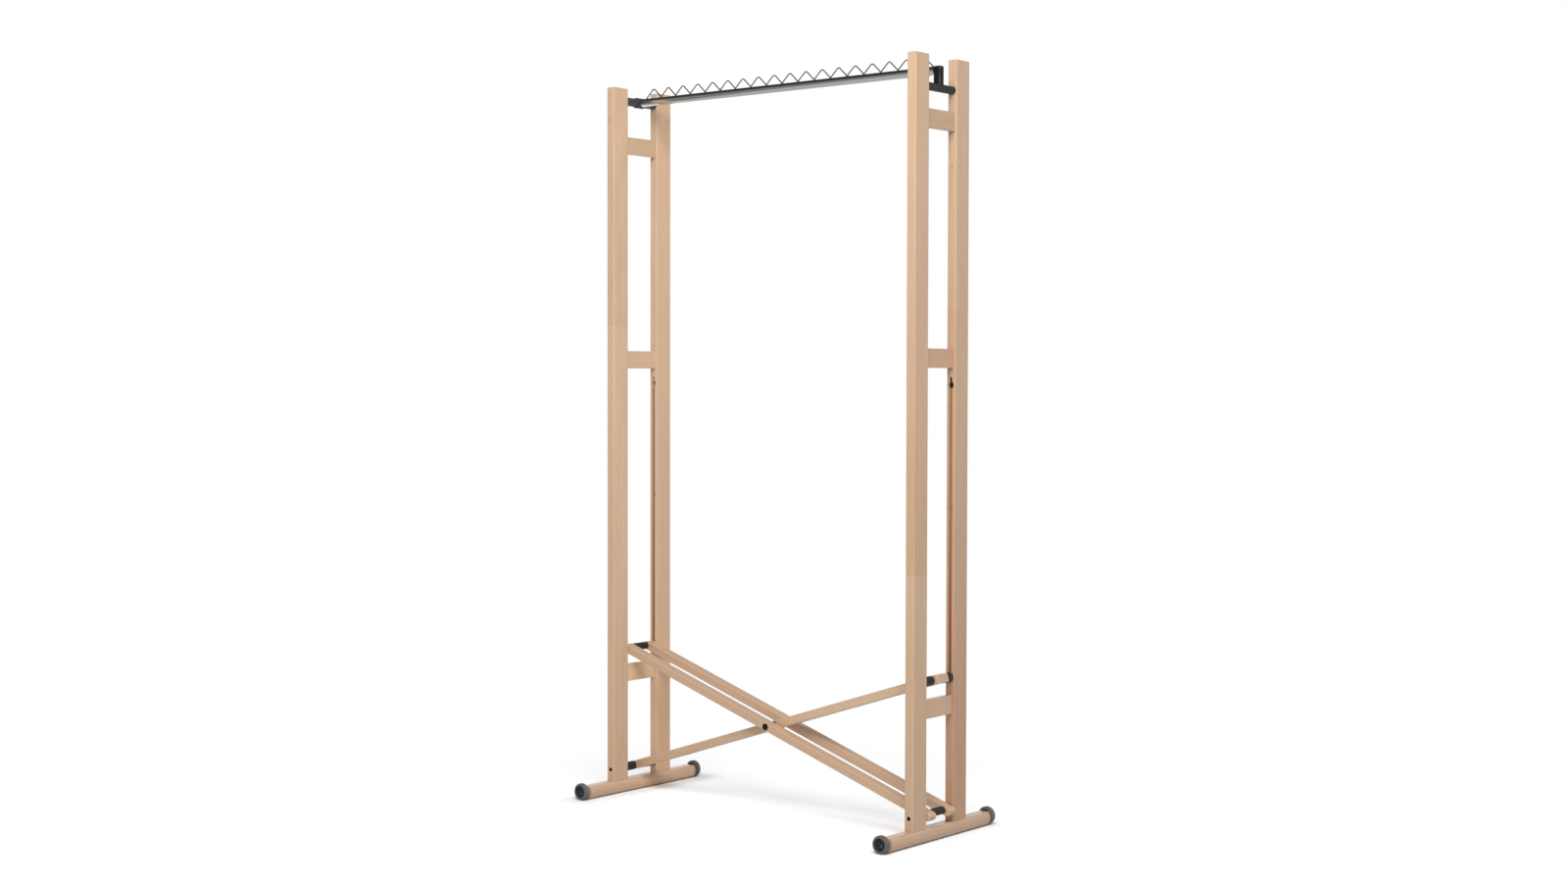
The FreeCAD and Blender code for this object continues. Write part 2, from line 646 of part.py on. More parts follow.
def wire_path():
    """The middle line of the zigzag: straight legs joined by tangent bends."""
    slope, bends = wire_legs()
    start, end = wire_end_points()
    edges = []
    here = start
    for step, (x, z, radius) in enumerate(bends):
        upright = -math.pi / 2 if step % 2 else math.pi / 2
        swing = -slope if step % 2 else slope
        turns = (upright + swing, upright, upright - swing)
        on_arc = [point(x + radius * math.cos(turn), 0, z + radius * math.sin(turn)) for turn in turns]
        edges.append(Part.LineSegment(here, on_arc[0]).toShape())
        edges.append(Part.Arc(on_arc[0], on_arc[1], on_arc[2]).toShape())
        here = on_arc[2]
    edges.append(Part.LineSegment(here, end).toShape())
    return Part.Wire(edges)


def wire_end_holes():
    """The slanting holes in the tube's wall that take the wire's ends."""
    slope, _ = wire_legs()
    holes = []
    for end, heading in zip(wire_end_points(), (1, -1)):
        leg = point(heading * math.cos(slope), 0, math.sin(slope))
        start = end - leg * (2 * WIRE_RADIUS)
        holes.append(Part.makeCylinder(WIRE_RADIUS + FIT, 2 * TUBE_RADIUS, start, leg))
    return holes


def hanger_wire():
    """The zigzag wire that keeps hangers apart, one bent length with its ends let into the tube."""
    slope, _ = wire_legs()
    leg = point(math.cos(slope), 0, math.sin(slope))
    section = Part.Wire(Part.Circle(wire_end_points()[0], leg, WIRE_RADIUS).toShape())
    return wire_path().makePipeShell([section], True, False)


def rail_screw_places():
    """Where the two rail screws stand along X."""
    return TUBE_START + RAIL_SCREW_INSET, TUBE_END - RAIL_SCREW_INSET


def rail_screw_rods(radius):
    """Rods on the axes of the rail screws, from below the tube to their tips."""
    seat = RAIL_AXIS - TUBE_RADIUS
    return [rod_z(radius, x, 0, seat, seat + RAIL_SCREW_LENGTH) for x in rail_screw_places()]


def rail_tube():
    """The chromed tube, with holes for the wire's ends and the screws below."""
    shape = rod_x(TUBE_RADIUS, 0, RAIL_AXIS, TUBE_START, TUBE_END)
    shape = shape.cut(rod_x(TUBE_BORE, 0, RAIL_AXIS, TUBE_START, TUBE_END))
    for cutter in rail_screw_rods(RAIL_SCREW_RADIUS + FIT) + wire_end_holes():
        shape = shape.cut(cutter)
    return shape


def cross_slot(x, low):
    """The cross-shaped driver slot in a rail screw's head, sunk upward from its face."""
    long = RAIL_SCREW_SLOT_LONG / 2
    wide = RAIL_SCREW_SLOT_WIDE / 2
    z_span = (low, low + RAIL_SCREW_SLOT_DEEP)
    along = block((x - long, x + long), (-wide, wide), z_span)
    return along.fuse(block((x - wide, x + wide), (-long, long), z_span))


def rail_screws():
    """The two small screws that hold the tube on its end pieces."""
    seat = RAIL_AXIS - TUBE_RADIUS
    low = seat - RAIL_SCREW_HEAD_TALL
    screws = []
    for x, shank in zip(rail_screw_places(), rail_screw_rods(RAIL_SCREW_RADIUS)):
        head = rod_z(RAIL_SCREW_HEAD_RADIUS, x, 0, low, seat)
        head = head.makeFillet(RAIL_SCREW_HEAD_TALL / 2, edges_at_z(head, low))
        screw = head.fuse(shank).removeSplitter()
        screws.append(screw.cut(cross_slot(x, low)))
    return Part.makeCompound(screws)


def screw_bored(shape):
    """An end piece bored for the rail screws."""
    for bore in rail_screw_rods(RAIL_SCREW_RADIUS + FIT):
        shape = shape.cut(bore)
    return shape


def rail_knuckle():
    """The black end piece that turns on the left crossbar: two rings round it and a plug in the tube."""
    near = KNUCKLE_RING_GAP / 2
    far = near + KNUCKLE_RING_WIDE
    ring = rod_y(LEFT_CROSSBAR_RADIUS + KNUCKLE_WALL, LEFT, RAIL_AXIS, near, far)
    collar = rod_x(TUBE_RADIUS, 0, RAIL_AXIS, LEFT, TUBE_START)
    plug = rod_x(PLUG_RADIUS, 0, RAIL_AXIS, LEFT, TUBE_START + PLUG_LENGTH)
    shape = ring.multiFuse([mirrored_in_y(ring), collar, plug])
    shape = shape.cut(rod_y(LEFT_CROSSBAR_RADIUS + FIT, LEFT, RAIL_AXIS, -far, far)).removeSplitter()
    return screw_bored(shape)


def rail_hook():
    """The black end piece that stands on the right crossbar and reaches over its outer side."""
    bar_z = CROSSBAR_HEIGHTS["right"]
    seat = bar_z + RIGHT_CROSSBAR_RADIUS + HOOK_PLAY
    half = HOOK_WIDE / 2
    top = RAIL_AXIS + TUBE_RADIUS
    x_span = (RIGHT - HOOK_INNER, RIGHT + HOOK_OUTER)
    body = block(x_span, (-half, half), (seat - HOOK_LIP, top))
    body = body.makeFillet(HOOK_ROUND, edges_along(body, Z_AXIS) + edges_at_z(body, top))
    plug = rod_x(PLUG_RADIUS, 0, RAIL_AXIS, TUBE_END - PLUG_LENGTH, RIGHT)
    saddle = rod_y(RIGHT_CROSSBAR_RADIUS + HOOK_PLAY, RIGHT, bar_z, -half, half)
    way_in = block((RIGHT - HOOK_INNER, RIGHT), (-half, half), (seat - HOOK_LIP, seat))
    return screw_bored(body.fuse(plug).cut(saddle).cut(way_in).removeSplitter())


def frame_pieces(side):
    """Every piece of one ladder frame and its rollers, by node name."""
    pieces = {}
    for end in ENDS:
        pieces[f"{side}_{end}_post"] = post(side, end)
        pieces[f"{side}_{end}_tyre"] = tyre(side, end)
        pieces[f"{side}_{end}_hub"] = hub(side, end)
    for level in RAIL_TOPS:
        pieces[f"{side}_{level}_rail"] = ladder_rail(side, level)
    pieces[f"{side}_foot"] = foot(side)
    pieces[f"{side}_crossbar"] = crossbar(side)
    pieces[f"{side}_rail_dowels"] = rail_dowels(side)
    pieces[f"{side}_post_dowels"] = post_dowels(side)
    pieces[f"{side}_pivot_bolt"] = pivot_bolt(side)
    pieces[f"{side}_pivot_nut"] = pivot_nut(side)
    pieces[f"{side}_axle_screws"] = axle_screws(side)
    return pieces


def brace_pieces():
    """Every piece of the crossing braces, by node name."""
    return {
        "wide_bar": wide_bar(),
        "wide_pivot_sleeves": sleeves(0),
        "wide_slider_sleeves": sleeves(BRACE_LENGTH),
        "wide_slider_rod": slider_rod(WIDE_BRACE),
        "twin_front_bar": twin_bar("front"),
        "twin_rear_bar": twin_bar("rear"),
        "twin_lower_spacer": spacer(0),
        "twin_upper_spacer": spacer(BRACE_LENGTH),
        "twin_slider_rod": slider_rod(TWIN_BRACE),
        "twin_pivot_washers": brace_washers(0, TWIN_OUTER, POST_INNER),
        "centre_washers": brace_washers(BRACE_LENGTH / 2, WIDE_BAR_WIDE / 2, TWIN_INNER),
        "centre_bolt": centre_bolt(),
        "centre_nut": centre_nut(),
    }


def rail_pieces():
    """Every piece of the hanging rail, by node name."""
    return {
        "rail_tube": rail_tube(),
        "hanger_wire": hanger_wire(),
        "rail_knuckle": rail_knuckle(),
        "rail_hook": rail_hook(),
        "rail_screws": rail_screws(),
    }


def main():
    """Build every piece and write it under its node name."""
    os.makedirs("parts", exist_ok=True)
    pieces = {}
    for side in FRAMES:
        pieces.update(frame_pieces(side))
    pieces.update(brace_pieces())
    pieces.update(rail_pieces())
    for name, shape in pieces.items():
        shape.exportStep(f"parts/{name}.step")
        print(f"{name}: {len(shape.Solids)} solid(s), {shape.Volume:.1f} mm3, valid {shape.isValid()}")


if __name__ == "__main__":
    main()
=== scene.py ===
"""Looks of a folding clothes rack: beech frames and braces, black fittings, soft rollers, chromed rail.

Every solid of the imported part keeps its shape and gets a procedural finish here. The spot welds on the
hanger wire are modelled as one new piece. Metres, in the frame of the part.
"""

import logging
import math
from collections.abc import Callable
from dataclasses import dataclass, field
from enum import Enum
from typing import Any

import bpy
from mathutils import Euler, Matrix, Vector


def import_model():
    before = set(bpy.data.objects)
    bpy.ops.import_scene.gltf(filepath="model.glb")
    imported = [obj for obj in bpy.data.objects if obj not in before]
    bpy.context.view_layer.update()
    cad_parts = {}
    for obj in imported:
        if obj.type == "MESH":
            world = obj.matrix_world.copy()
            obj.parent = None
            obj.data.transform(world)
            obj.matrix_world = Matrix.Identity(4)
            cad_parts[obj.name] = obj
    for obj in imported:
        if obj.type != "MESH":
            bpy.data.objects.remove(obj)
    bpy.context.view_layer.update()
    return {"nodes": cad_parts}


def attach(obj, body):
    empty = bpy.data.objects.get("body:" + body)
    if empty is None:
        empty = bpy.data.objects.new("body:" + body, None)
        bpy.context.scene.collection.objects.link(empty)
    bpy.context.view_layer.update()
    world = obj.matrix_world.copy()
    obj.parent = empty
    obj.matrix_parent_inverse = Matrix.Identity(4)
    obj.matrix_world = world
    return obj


Colour = tuple[float, float, float]
Place = tuple[float, float, float]
Span = tuple[float, float]
Stops = tuple[Span, ...]
Socket = Any

LOG = logging.getLogger("clothes_rack")
BRACE_SLOPE = math.radians(18.01)
ORIGIN: Place = (0.0, 0.0, 0.0)
EVENLY: Place = (1.0, 1.0, 1.0)
WHITE: Colour = (1.0, 1.0, 1.0)


class Side(Enum):
    """The two ladder frames, with the X of each frame's middle."""

    LEFT = ("left", -0.466)
    RIGHT = ("right", 0.466)

    @property
    def word(self) -> str:
        """The side's name, as the part's nodes begin with it."""
        return self.value[0]

    @property
    def x(self) -> float:
        """The X of the frame's middle plane."""
        return self.value[1]


class Grain(Enum):
    """Which way a board's grain runs, as the turn that brings it upright."""

    UPRIGHT = (0.0, 0.0, 0.0)
    FRONT_TO_REAR = (math.pi / 2, 0.0, 0.0)
    WIDE_BRACE = (0.0, BRACE_SLOPE - math.pi / 2, 0.0)
    TWIN_BRACE = (0.0, -BRACE_SLOPE - math.pi / 2, 0.0)


class Keyhole(Enum):
    """What shows in the keyhole of a post's groove: its own shade, or wood that the light reaches."""

    SHADED = (0.022, 0.014, 0.01)
    LIT = (0.75, 0.5, 0.32)


class Sheet:
    """A node tree being drawn: adds nodes, and feeds them numbers, colours or outputs of other nodes."""

    def __init__(self, tree: bpy.types.NodeTree) -> None:
        """Keeps the tree to draw on."""
        self.tree = tree

    def feed(self, target: Socket, value: Any) -> None:
        """Links an output to an input, or sets the input's own value.

        Args:
            target: the input socket.
            value: an output socket, a number, or a tuple of numbers.
        """
        if isinstance(value, bpy.types.NodeSocket):
            self.tree.links.new(value, target)
        elif target.type == "RGBA" and len(value) == 3:
            target.default_value = (*value, 1.0)
        else:
            target.default_value = value

    def add(self, kind: str, inputs: dict[Any, Any] | None = None, **settings: Any) -> bpy.types.Node:
        """Adds a node.

        Args:
            kind: the node's type, without the leading ShaderNode.
            inputs: values by input name or number.
            settings: the node's own properties.

        Returns:
            The new node.
        """
        node = self.tree.nodes.new("ShaderNode" + kind)
        for name, value in settings.items():
            setattr(node, name, value)
        for key, value in (inputs or {}).items():
            self.feed(node.inputs[key], value)
        return node

    def group(self, tree: bpy.types.NodeTree, **inputs: Any) -> Any:
        """Places a shared effect with its own inputs; returns its outputs by name."""
        return self.add("Group", inputs, node_tree=tree).outputs

    def math(self, operation: str, first: Any, second: Any = 0.0) -> Socket:
        """One sum on two values; returns its result."""
        return self.add("Math", {0: first, 1: second}, operation=operation).outputs[0]

    def plus(self, first: Any, second: Any) -> Socket:
        """Two values added."""
        return self.math("ADD", first, second)

    def times(self, first: Any, second: Any) -> Socket:
        """Two values multiplied."""
        return self.math("MULTIPLY", first, second)

    def vector(self, operation: str, first: Any, second: Any = ORIGIN) -> bpy.types.Node:
        """One sum on two vectors; returns its node."""
        return self.add("VectorMath", {0: first, 1: second}, operation=operation)

    def parts(self, vector: Socket) -> tuple[Socket, ...]:
        """The three parts of a vector."""
        return tuple(self.add("SeparateXYZ", {0: vector}).outputs)

    def fade(self, value: Socket, low: float, high: float, start: float = 0.0, end: float = 1.0) -> Socket:
        """A smooth step of value from low to high; returns numbers from start to end."""
        inputs = {"Value": value, "From Min": low, "From Max": high, "To Min": start, "To Max": end}
        return self.add("MapRange", inputs, interpolation_type="SMOOTHSTEP").outputs[0]

    def drop(self, value: Socket, low: float, high: float) -> Socket:
        """A smooth step of value down from 1 at low to 0 at high."""
        return self.fade(value, low, high, 1.0, 0.0)

    def mix(self, share: Any, first: Any, second: Any, blend: str = "MIX") -> Socket:
        """Blends two colours by a share; returns the colour."""
        node = self.add("Mix", {0: share, 6: first, 7: second}, data_type="RGBA", blend_type=blend)
        return node.outputs[2]

    def noise(self, place: Socket, scale: Place, detail: float = 3.0, roughness: float = 0.55) -> Socket:
        """Noise stretched along each axis.

        Args:
            place: places on the piece.
            scale: repeats in a metre along each axis.
            detail: how many finer layers it has.
            roughness: how strong the finer layers are.

        Returns:
            The noise's value.
        """
        stretched = self.vector("MULTIPLY", place, scale).outputs[0]
        inputs = {"Vector": stretched, "Scale": 1.0, "Detail": detail, "Roughness": roughness}
        return self.add("TexNoise", inputs).outputs[0]

    def dots(self, place: Socket, scale: Place) -> Socket:
        """Distance to the nearest of many scattered dots, stretched along each axis."""
        stretched = self.vector("MULTIPLY", place, scale).outputs[0]
        return self.add("TexVoronoi", {"Vector": stretched, "Scale": 1.0}).outputs["Distance"]

    def seen(self) -> tuple[Socket, Socket]:
        """Whether a ray is one that shows the background.

        Returns:
            A mask of camera, mirror and glass rays together, and one of mirror rays alone.
        """
        path = self.add("LightPath").outputs
        mirror = path["Is Glossy Ray"]
        shown = self.math("MAXIMUM", path["Is Camera Ray"], path["Is Transmission Ray"])
        return self.math("MAXIMUM", shown, mirror), mirror


@dataclass
class Effect:
    """A shared shader node group under construction, with named inputs and outputs."""

    name: str
    inputs: dict[str, str]
    masks: tuple[str, ...]
    tree: bpy.types.NodeTree = field(init=False)
    sheet: Sheet = field(init=False)
    given: bpy.types.Node = field(init=False)
    made: bpy.types.Node = field(init=False)

    def __post_init__(self) -> None:
        """Makes the group, its sockets and its end nodes."""
        self.tree = bpy.data.node_groups.new(self.name, "ShaderNodeTree")
        sockets = [("INPUT", name, kind) for name, kind in self.inputs.items()]
        sockets += [("OUTPUT", mask, "Float") for mask in self.masks]
        for way, name, kind in sockets:
            self.tree.interface.new_socket(name=name, in_out=way, socket_type="NodeSocket" + kind)
        self.sheet = Sheet(self.tree)
        self.given = self.tree.nodes.new("NodeGroupInput")
        self.made = self.tree.nodes.new("NodeGroupOutput")

    def take(self, name: str) -> Socket:
        """One of the group's inputs, to use inside it."""
        return self.given.outputs[name]

    def give(self, **values: Socket) -> bpy.types.NodeTree:
        """Sets the group's outputs.

        Args:
            values: what each output gives, by its name.

        Returns:
            The finished group.
        """
        for name, value in values.items():
            self.sheet.feed(self.made.inputs[name], value)
        return self.tree


@dataclass(frozen=True)
class WoodFigure:
    """How coarse each part of beech's figure is, in repeats per metre with the grain upright."""

    sway: Place = (9.0, 9.0, 1.1)
    sway_across: float = 0.045
    sway_depth: float = 0.03
    ring_gap: float = 0.0042
    streaks: Place = (120.0, 120.0, 2.2)
    mottle: Place = (280.0, 280.0, 48.0)
    lines: Place = (760.0, 760.0, 9.0)
    flecks: Place = (1300.0, 1300.0, 150.0)
    fleck_edge: Span = (0.16, 0.3)
    drift: Place = (14.0, 14.0, 2.6)
    pores: Place = (1500.0, 1500.0, 40.0)
    pore_edge: Span = (0.2, 0.42)
    contrast: Span = (0.3, 0.7)
    smooth: float = 2.0

    def rings(self, sheet: Sheet, place: Socket) -> Socket:
        """Growth rings around an upright pith at the origin, swaying along the grain.

        Args:
            sheet: the node tree being drawn.
            place: places on the board, measured from its pith.

        Returns:
            A mask from 0 to 1 across each ring.
        """
        sway = sheet.noise(place, self.sway, self.smooth)
        x, y, _ = sheet.parts(place)
        across = sheet.plus(x, sheet.times(sway, self.sway_across))
        depth = sheet.plus(y, sheet.times(sway, self.sway_depth))
        radius = sheet.math("SQRT", sheet.plus(sheet.times(across, across), sheet.times(depth, depth)))
        wave = sheet.math("SINE", sheet.times(radius, 2 * math.pi / self.ring_gap))
        return sheet.plus(sheet.times(wave, 0.5), 0.5)

    def group(self) -> bpy.types.NodeTree:
        """Builds the figure of a board whose grain stands upright.

        Returns:
            A group that gives masks from 0 to 1: rings, long streaks, short mottle, fine lines, flecks,
            slow drift, and the pores of end grain.
        """
        masks = ("Rings", "Streaks", "Mottle", "Lines", "Flecks", "Drift", "Pores")
        effect = Effect("wood_figure", {"Place": "Vector"}, masks)
        sheet = effect.sheet
        place = effect.take("Place")
        return effect.give(
            Rings=self.rings(sheet, place),
            Streaks=sheet.fade(sheet.noise(place, self.streaks), *self.contrast),
            Mottle=sheet.fade(sheet.noise(place, self.mottle, self.smooth), *self.contrast),
            Lines=sheet.fade(sheet.noise(place, self.lines, self.smooth), *self.contrast),
            Flecks=sheet.drop(sheet.dots(place, self.flecks), *self.fleck_edge),
            Drift=sheet.fade(sheet.noise(place, self.drift, self.smooth), *self.contrast),
            Pores=sheet.drop(sheet.dots(place, self.pores), *self.pore_edge),
        )


@dataclass(frozen=True)
class RoundedEdges:
    """How squarely a surface faces an axis on a rounded edge, on an end and on an end's rim."""

    edge: Span = (0.72, 0.995)
    end: Span = (0.93, 0.99)
    rim: Span = (0.15, 0.45)

    def group(self) -> bpy.types.NodeTree:
        """Finds rounded edges and end faces from the direction that a surface faces.

        Returns:
            A group that gives three masks: Edge on roundings, End on faces square to the third axis, and
            Rim on the roundings around those faces.
        """
        effect = Effect("rounded_edges", {"Facing": "Vector"}, ("Edge", "End", "Rim"))
        sheet = effect.sheet
        x, y, z = sheet.parts(sheet.vector("ABSOLUTE", effect.take("Facing")).outputs[0])
        most = sheet.math("MAXIMUM", sheet.math("MAXIMUM", x, y), z)
        end = sheet.fade(z, *self.end)
        rim = sheet.math("SUBTRACT", sheet.fade(z, *self.rim), end)
        return effect.give(Edge=sheet.drop(most, *self.edge), End=end, Rim=rim)


@dataclass(frozen=True)
class PinKnot:
    """The form of a small dark knot: how ragged it is, and how it is drawn out along the grain."""

    ragged: Place = (300.0, 300.0, 120.0)
    raggedness: float = 0.5
    drawn_out: Place = (1.0, 1.0, 0.45)
    edge: Span = (0.45, 1.25)

    def group(self) -> bpy.types.NodeTree:
        """Builds a knot at a place on a board.

        Returns:
            A group that gives the knot's mask.
        """
        inputs = {"Place": "Vector", "Centre": "Vector", "Size": "Float"}
        effect = Effect("pin_knot", inputs, ("Knot",))
        sheet = effect.sheet
        place = effect.take("Place")
        away = sheet.vector("SUBTRACT", place, effect.take("Centre")).outputs[0]
        away = sheet.vector("MULTIPLY", away, self.drawn_out).outputs[0]
        far = sheet.math("DIVIDE", sheet.vector("LENGTH", away).outputs["Value"], effect.take("Size"))
        far = sheet.plus(far, sheet.times(sheet.noise(place, self.ragged), self.raggedness))
        return effect.give(Knot=sheet.drop(far, *self.edge))


@dataclass(frozen=True)
class MouldedMottle:
    """How coarse the clouds and the grit of a moulded, plated or rubbed surface are."""

    clouds: Place = (45.0, 45.0, 45.0)
    contrast: Span = (0.3, 0.7)
    grit_detail: float = 4.0
    grit_roughness: float = 0.7

    def group(self) -> bpy.types.NodeTree:
        """Builds the fine texture and the broad dullness.

        Returns:
            A group that gives Grit, fine, and Cloud, broad, both from 0 to 1.
        """
        effect = Effect("moulded_mottle", {"Place": "Vector", "Fineness": "Float"}, ("Grit", "Cloud"))
        sheet = effect.sheet
        place = effect.take("Place")
        inputs = {0: place, "Scale": effect.take("Fineness")}
        scaled = sheet.add("VectorMath", inputs, operation="SCALE").outputs[0]
        return effect.give(
            Grit=sheet.noise(scaled, EVENLY, self.grit_detail, self.grit_roughness),
            Cloud=sheet.fade(sheet.noise(place, self.clouds), *self.contrast),
        )


class Effects:
    """The effects that more than one finish uses, each built once."""

    def __init__(self) -> None:
        """Builds every shared effect."""
        self.figure = WoodFigure().group()
        self.rounding = RoundedEdges().group()
        self.knot = PinKnot().group()
        self.mottle = MouldedMottle().group()


@dataclass
class Dress:
    """A material under construction, with the places and facings that its effects read."""

    name: str
    material: bpy.types.Material = field(init=False)
    sheet: Sheet = field(init=False)
    shader: bpy.types.Node = field(init=False)
    place: Socket = field(init=False)
    facing: Socket = field(init=False)

    def __post_init__(self) -> None:
        """Makes the material with a bare shader and object coordinates."""
        self.material = bpy.data.materials.new(self.name)
        self.material.use_nodes = True
        self.sheet = Sheet(self.material.node_tree)
        self.shader = self.material.node_tree.nodes["Principled BSDF"]
        coordinates = self.sheet.add("TexCoord")
        self.place = coordinates.outputs["Object"]
        self.facing = coordinates.outputs["Normal"]

    def set(self, **values: Any) -> None:
        """Sets the shader's inputs, with underscores for the spaces in their names."""
        for name, value in values.items():
            self.sheet.feed(self.shader.inputs[name.replace("_", " ")], value)

    def bump(self, height: Socket, strength: float, distance: float) -> None:
        """Raises the surface by a height mask."""
        inputs = {"Strength": strength, "Distance": distance, "Height": height}
        self.set(Normal=self.sheet.add("Bump", inputs).outputs[0])


class Coating:
    """A finish, which draws itself on a new material."""

    def draw(self, dress: Dress, effects: Effects) -> None:
        """Draws the finish; each kind of finish has its own."""
        raise NotImplementedError

    def material(self, name: str, effects: Effects) -> bpy.types.Material:
        """Makes a material with this finish.

        Args:
            name: what to call it.
            effects: the shared effects.

        Returns:
            The finished material.
        """
        dress = Dress(name)
        self.draw(dress, effects)
        return dress.material


@dataclass(frozen=True)
class Knot:
    """A pin knot on a board: where it is in the part, and its radius."""

    centre: Place
    size: float


@dataclass(frozen=True)
class Drift:
    """A change of tone along a board: the wood's own, a sudden one where two lengths are finger-jointed, and
    on some boards painted light and shade.

    It gives the tint, where the change starts and where it is full, and the axis that it follows.
    """

    tint: Colour
    start: float
    full: float
    axis: int = 2


@dataclass(frozen=True)
class Board:
    """What sets one board apart from the others: its tone and tint, its knots and changes of tone, some of
    them painted light and shade.
    """

    tone: float = 1.0
    tint: Colour = WHITE
    knots: tuple[Knot, ...] = ()
    drifts: tuple[Drift, ...] = ()


@dataclass(frozen=True)
class Groove:
    """The routed groove of a post, with the keyhole above it: where it lies, and its colours."""

    x: float
    keyhole: Keyhole
    routed: Colour = (0.56, 0.32, 0.155)
    rubbed_dark: Colour = (0.43, 0.195, 0.088)
    half_wide: float = 0.0085
    mouth: Span = (0.0532, 0.058)
    deepest: float = 0.075
    bottom: float = 0.34
    top: float = 1.065
    # Over this height span the groove turns darker towards the bottom.
    rubbed: Span = (0.36, 0.85)
    keyhole_from: float = 1.031
    share: float = 0.9

    def paint(self, dress: Dress, colour: Socket) -> Socket:
        """Colours the groove, darker downward, and the keyhole.

        Args:
            dress: the material under construction.
            colour: the post's colour so far.

        Returns:
            The colour with the groove and the keyhole in it.
        """
        sheet = dress.sheet
        x, y, z = sheet.parts(dress.place)
        beside = sheet.math("ABSOLUTE", sheet.math("SUBTRACT", x, self.x))
        depth = sheet.math("ABSOLUTE", y)
        inside = sheet.times(sheet.math("LESS_THAN", beside, self.half_wide),
                             sheet.math("LESS_THAN", depth, self.deepest))
        run = sheet.times(sheet.math("GREATER_THAN", z, self.bottom), sheet.math("LESS_THAN", z, self.top))
        mask = sheet.times(sheet.times(inside, run), sheet.fade(depth, *self.mouth))
        # The groove's colour, darker towards the bottom.
        wood = sheet.mix(sheet.fade(z, *self.rubbed), self.rubbed_dark, self.routed)
        wood = sheet.mix(sheet.math("GREATER_THAN", z, self.keyhole_from), wood, self.keyhole.value)
        return sheet.mix(sheet.times(mask, self.share), colour, wood)


